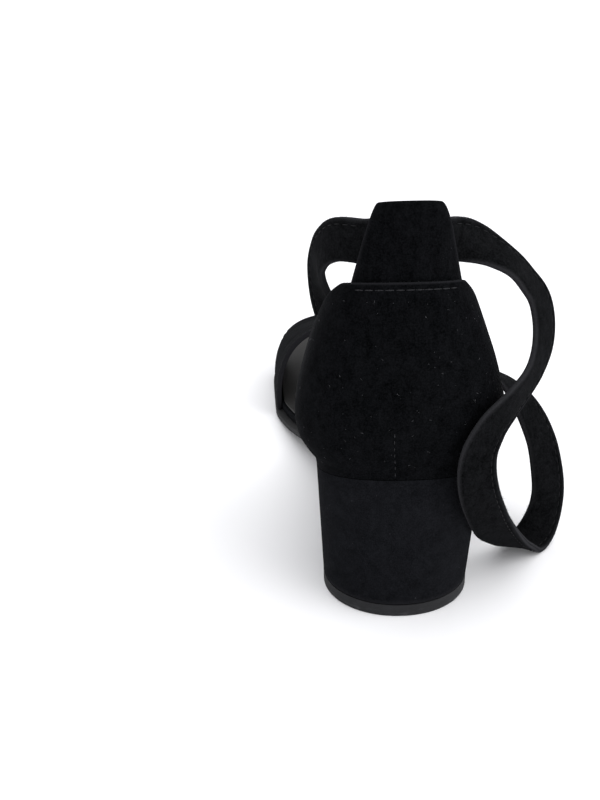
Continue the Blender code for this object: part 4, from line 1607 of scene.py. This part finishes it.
@dataclass
class Fibres:
    """Lint that clings to the suede, and short hairs of the nap along cut edges."""

    last: Last
    shop: Workshop
    cup: HeelCup
    heel: Heel
    strap: Strap
    seed: int = 7
    cup_lint: int = 120
    lint_reach: float = 48 * MM
    heel_lint: int = 16
    tuft_hairs: int = 9
    edge_hairs: int = 230
    edge_reach: float = 92 * MM
    tufts: tuple[tuple[float, float, float], ...] = ((54.8, 48.0, 35.0), (57.5, 46.0, 21.0))

    def hair(
        self,
        mesh: bmesh.types.BMesh,
        start: Vector,
        ways: tuple[Vector, Vector],
        length: float,
        radius: float,
    ) -> None:
        """Adds one bent hair.

        Args:
            mesh: The mesh that it is added to.
            start: Its root, in the part's frame.
            ways: Direction at its root and the way it bends.
            length: Its length.
            radius: Its thickness at the root.
        """
        run, bend = ways
        aside = run.orthogonal().normalized()
        other = run.cross(aside)
        steps, corners = 4, 3
        rows = []
        for i in range(steps + 1):
            share = i / steps
            middle = start + run * length * share + bend * length * share**2 * 0.5
            slim = radius * (1 - 0.6 * share) if 0 < i < steps else 0.0
            ring = []
            for k in range(corners):
                turn = 2 * math.pi * k / corners
                ring.append(middle + (aside * math.cos(turn) + other * math.sin(turn)) * slim)
            rows.append(ring)
        part = woven(rows, around=True)
        data = bpy.data.meshes.new("hair")
        part.to_mesh(data)
        part.free()
        mesh.from_mesh(data)
        bpy.data.meshes.remove(data)

    def random_way(self, dice: random.Random) -> Vector:
        """A random direction."""
        return Vector((dice.gauss(0, 1), dice.gauss(0, 1), dice.gauss(0, 1))).normalized()

    def build(self) -> None:
        """Scatters lint on the cup, the heel and the ties, and hairs along the edges."""
        dice = random.Random(self.seed)
        lint = bmesh.new()
        for _ in range(self.cup_lint):
            arc = dice.uniform(-self.lint_reach, self.lint_reach)
            up = dice.uniform(0.06, 0.95) * self.cup.top(arc)
            out = self.cup.outward(arc, up)
            spot = self.last.placed(self.cup.point(arc, up) + out * 0.08 * MM)
            way = self.random_way(dice)
            run = (way - out * way.dot(out) * 0.9).normalized()
            size = dice.uniform(0.3, 1.2) * MM
            self.hair(lint, spot, (run, self.random_way(dice) * 0.5 + out * 0.2), size, 0.05 * MM)
        for _ in range(self.heel_lint):
            level = dice.uniform(0.05, 0.95)
            ring = self.heel.ring(level, -0.05 * MM)
            point = ring[dice.choice([*range(1, 30), *range(len(ring) - 30, len(ring) - 1)])]
            foot = self.heel.lift_height + self.heel.joint_gap
            z = blend(foot, self.last.sole_height(point.y), level)
            spot = self.last.placed(Vector((point.x, point.y, z)))
            run = self.random_way(dice)
            size = dice.uniform(0.3, 0.9) * MM
            self.hair(lint, spot, (run, self.random_way(dice) * 0.6), size, 0.04 * MM)
        points, widths = self.strap.route(RIGHT_ROUTE, MM)
        frames = self.strap.frames(points, widths)
        for spot in self.tufts:
            i = min(range(len(points)), key=lambda k: (points[k] - Vector(spot) * MM).length)
            root = points[i] + frames[i][1] * self.strap.width * 0.49
            for _ in range(self.tuft_hairs):
                near = self.last.placed(root + self.random_way(dice) * 0.5 * MM)
                run = self.random_way(dice)
                self.hair(lint, near, (run, self.random_way(dice)), 0.9 * MM, 0.06 * MM)
        self.shop.piece("lint", lint, Finish.COUNTER, (), self.shop.fibre)

        nap = bmesh.new()
        for rows in (RIGHT_ROUTE, LEFT_ROUTE):
            points, widths = self.strap.route(rows, 0.8 * MM)
            frames = self.strap.frames(points, widths)
            for point, (run, across, through) in list(zip(points, frames))[12:-3] * 2:
                side = dice.choice((-1, 1))
                root = point + across * side * self.strap.width * 0.497
                root += through * dice.uniform(-0.8, 0.8) * MM
                way = (across * side + self.random_way(dice) * 0.7).normalized()
                size = dice.uniform(0.25, 0.8) * MM
                ways = (way, self.random_way(dice) * 0.6)
                self.hair(nap, self.last.placed(root), ways, size, 0.045 * MM)
        for _ in range(self.edge_hairs):
            arc = dice.uniform(-self.edge_reach, self.edge_reach)
            up = self.cup.top(arc)
            out = self.cup.outward(arc, up - MM)
            root = self.last.placed(self.cup.point(arc, up) - out * dice.uniform(0.2, 1.0) * MM)
            way = (Vector((0, 0, 1)) + out * 0.4 + self.random_way(dice) * 0.7).normalized()
            size = dice.uniform(0.2, 0.75) * MM
            self.hair(nap, root, (way, self.random_way(dice) * 0.6), size, 0.035 * MM)
        self.shop.piece("nap_hairs", nap, Finish.TIE, (), self.shop.nap)


@dataclass
class Studio:
    """Camera, white table and soft light."""

    camera_place: tuple[float, float, float] = (-0.029775, -0.36574, 0.195)
    pitch: float = 65.0
    roll: float = -1.4
    focal_share: float = 935 / 800
    sensor: float = 24.0
    world: float = 1.0
    table_size: float = 30.0

    def place_camera(self) -> None:
        """Sets the camera as it stood for the photograph."""
        data = bpy.data.cameras.new("camera")
        data.sensor_fit = "VERTICAL"
        data.sensor_height = self.sensor
        data.lens = self.focal_share * self.sensor
        data.clip_start = 0.01
        camera = linked("camera", data)
        tilt = Matrix.Rotation(math.radians(self.pitch), 4, "X")
        turn = Matrix.Rotation(math.radians(self.roll), 4, "Z")
        camera.matrix_world = Matrix.Translation(self.camera_place) @ tilt @ turn
        bpy.context.scene.camera = camera

    def sun(self, name: str, way: Vector, strength: float, spread: float) -> None:
        """Adds a soft light from far away.

        Args:
            name: The light's name.
            way: Direction from the shoe to the light.
            strength: Its strength, watts a square metre.
            spread: Its apparent size, degrees.
        """
        data = bpy.data.lights.new(name, "SUN")
        data.energy = strength
        data.angle = math.radians(spread)
        made = linked(name, data)
        made.rotation_euler = (-way).to_track_quat("-Z", "Y").to_euler()

    def build(self) -> None:
        """Lays the table and sets up the lights."""
        mesh = bmesh.new()
        bmesh.ops.create_grid(mesh, x_segments=4, y_segments=4, size=self.table_size)
        data = bpy.data.meshes.new("table")
        mesh.to_mesh(data)
        mesh.free()
        table = linked("table", data)
        data.materials.append(Table().make("white_table"))
        world = bpy.data.worlds.new("studio")
        world.use_nodes = True
        background = world.node_tree.nodes["Background"]
        background.inputs["Color"].default_value = (0.98, 0.985, 1.0, 1.0)
        background.inputs["Strength"].default_value = self.world
        bpy.context.scene.world = world
        self.sun("overhead", Vector((0.12, 0.05, 1.0)), 0.9, 80)
        self.sun("window", Vector((1.0, -0.4, 0.6)), 1.5, 60)
        bpy.context.scene.view_settings.view_transform = "Standard"


def main() -> None:
    """Builds the studio and the shoe."""
    logging.basicConfig(level=logging.INFO, format="%(message)s")
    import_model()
    last = Last()
    studio = Studio()
    studio.place_camera()
    shop = Workshop()
    strap = Strap(last, shop)
    strap.build("right_tie", "tie_right", RIGHT_ROUTE)
    strap.build("left_tie", "tie_left", LEFT_ROUTE)
    cup = HeelCup(last, shop)
    heel = Heel(last, shop)
    Sole(last, shop).build()
    heel.build()
    cup.build()
    TabCasing(last, shop).build()
    ToeBand(last, shop).build()
    Fibres(last, shop, cup, heel, strap).build()
    studio.build()


if __name__ == "__main__":
    main()
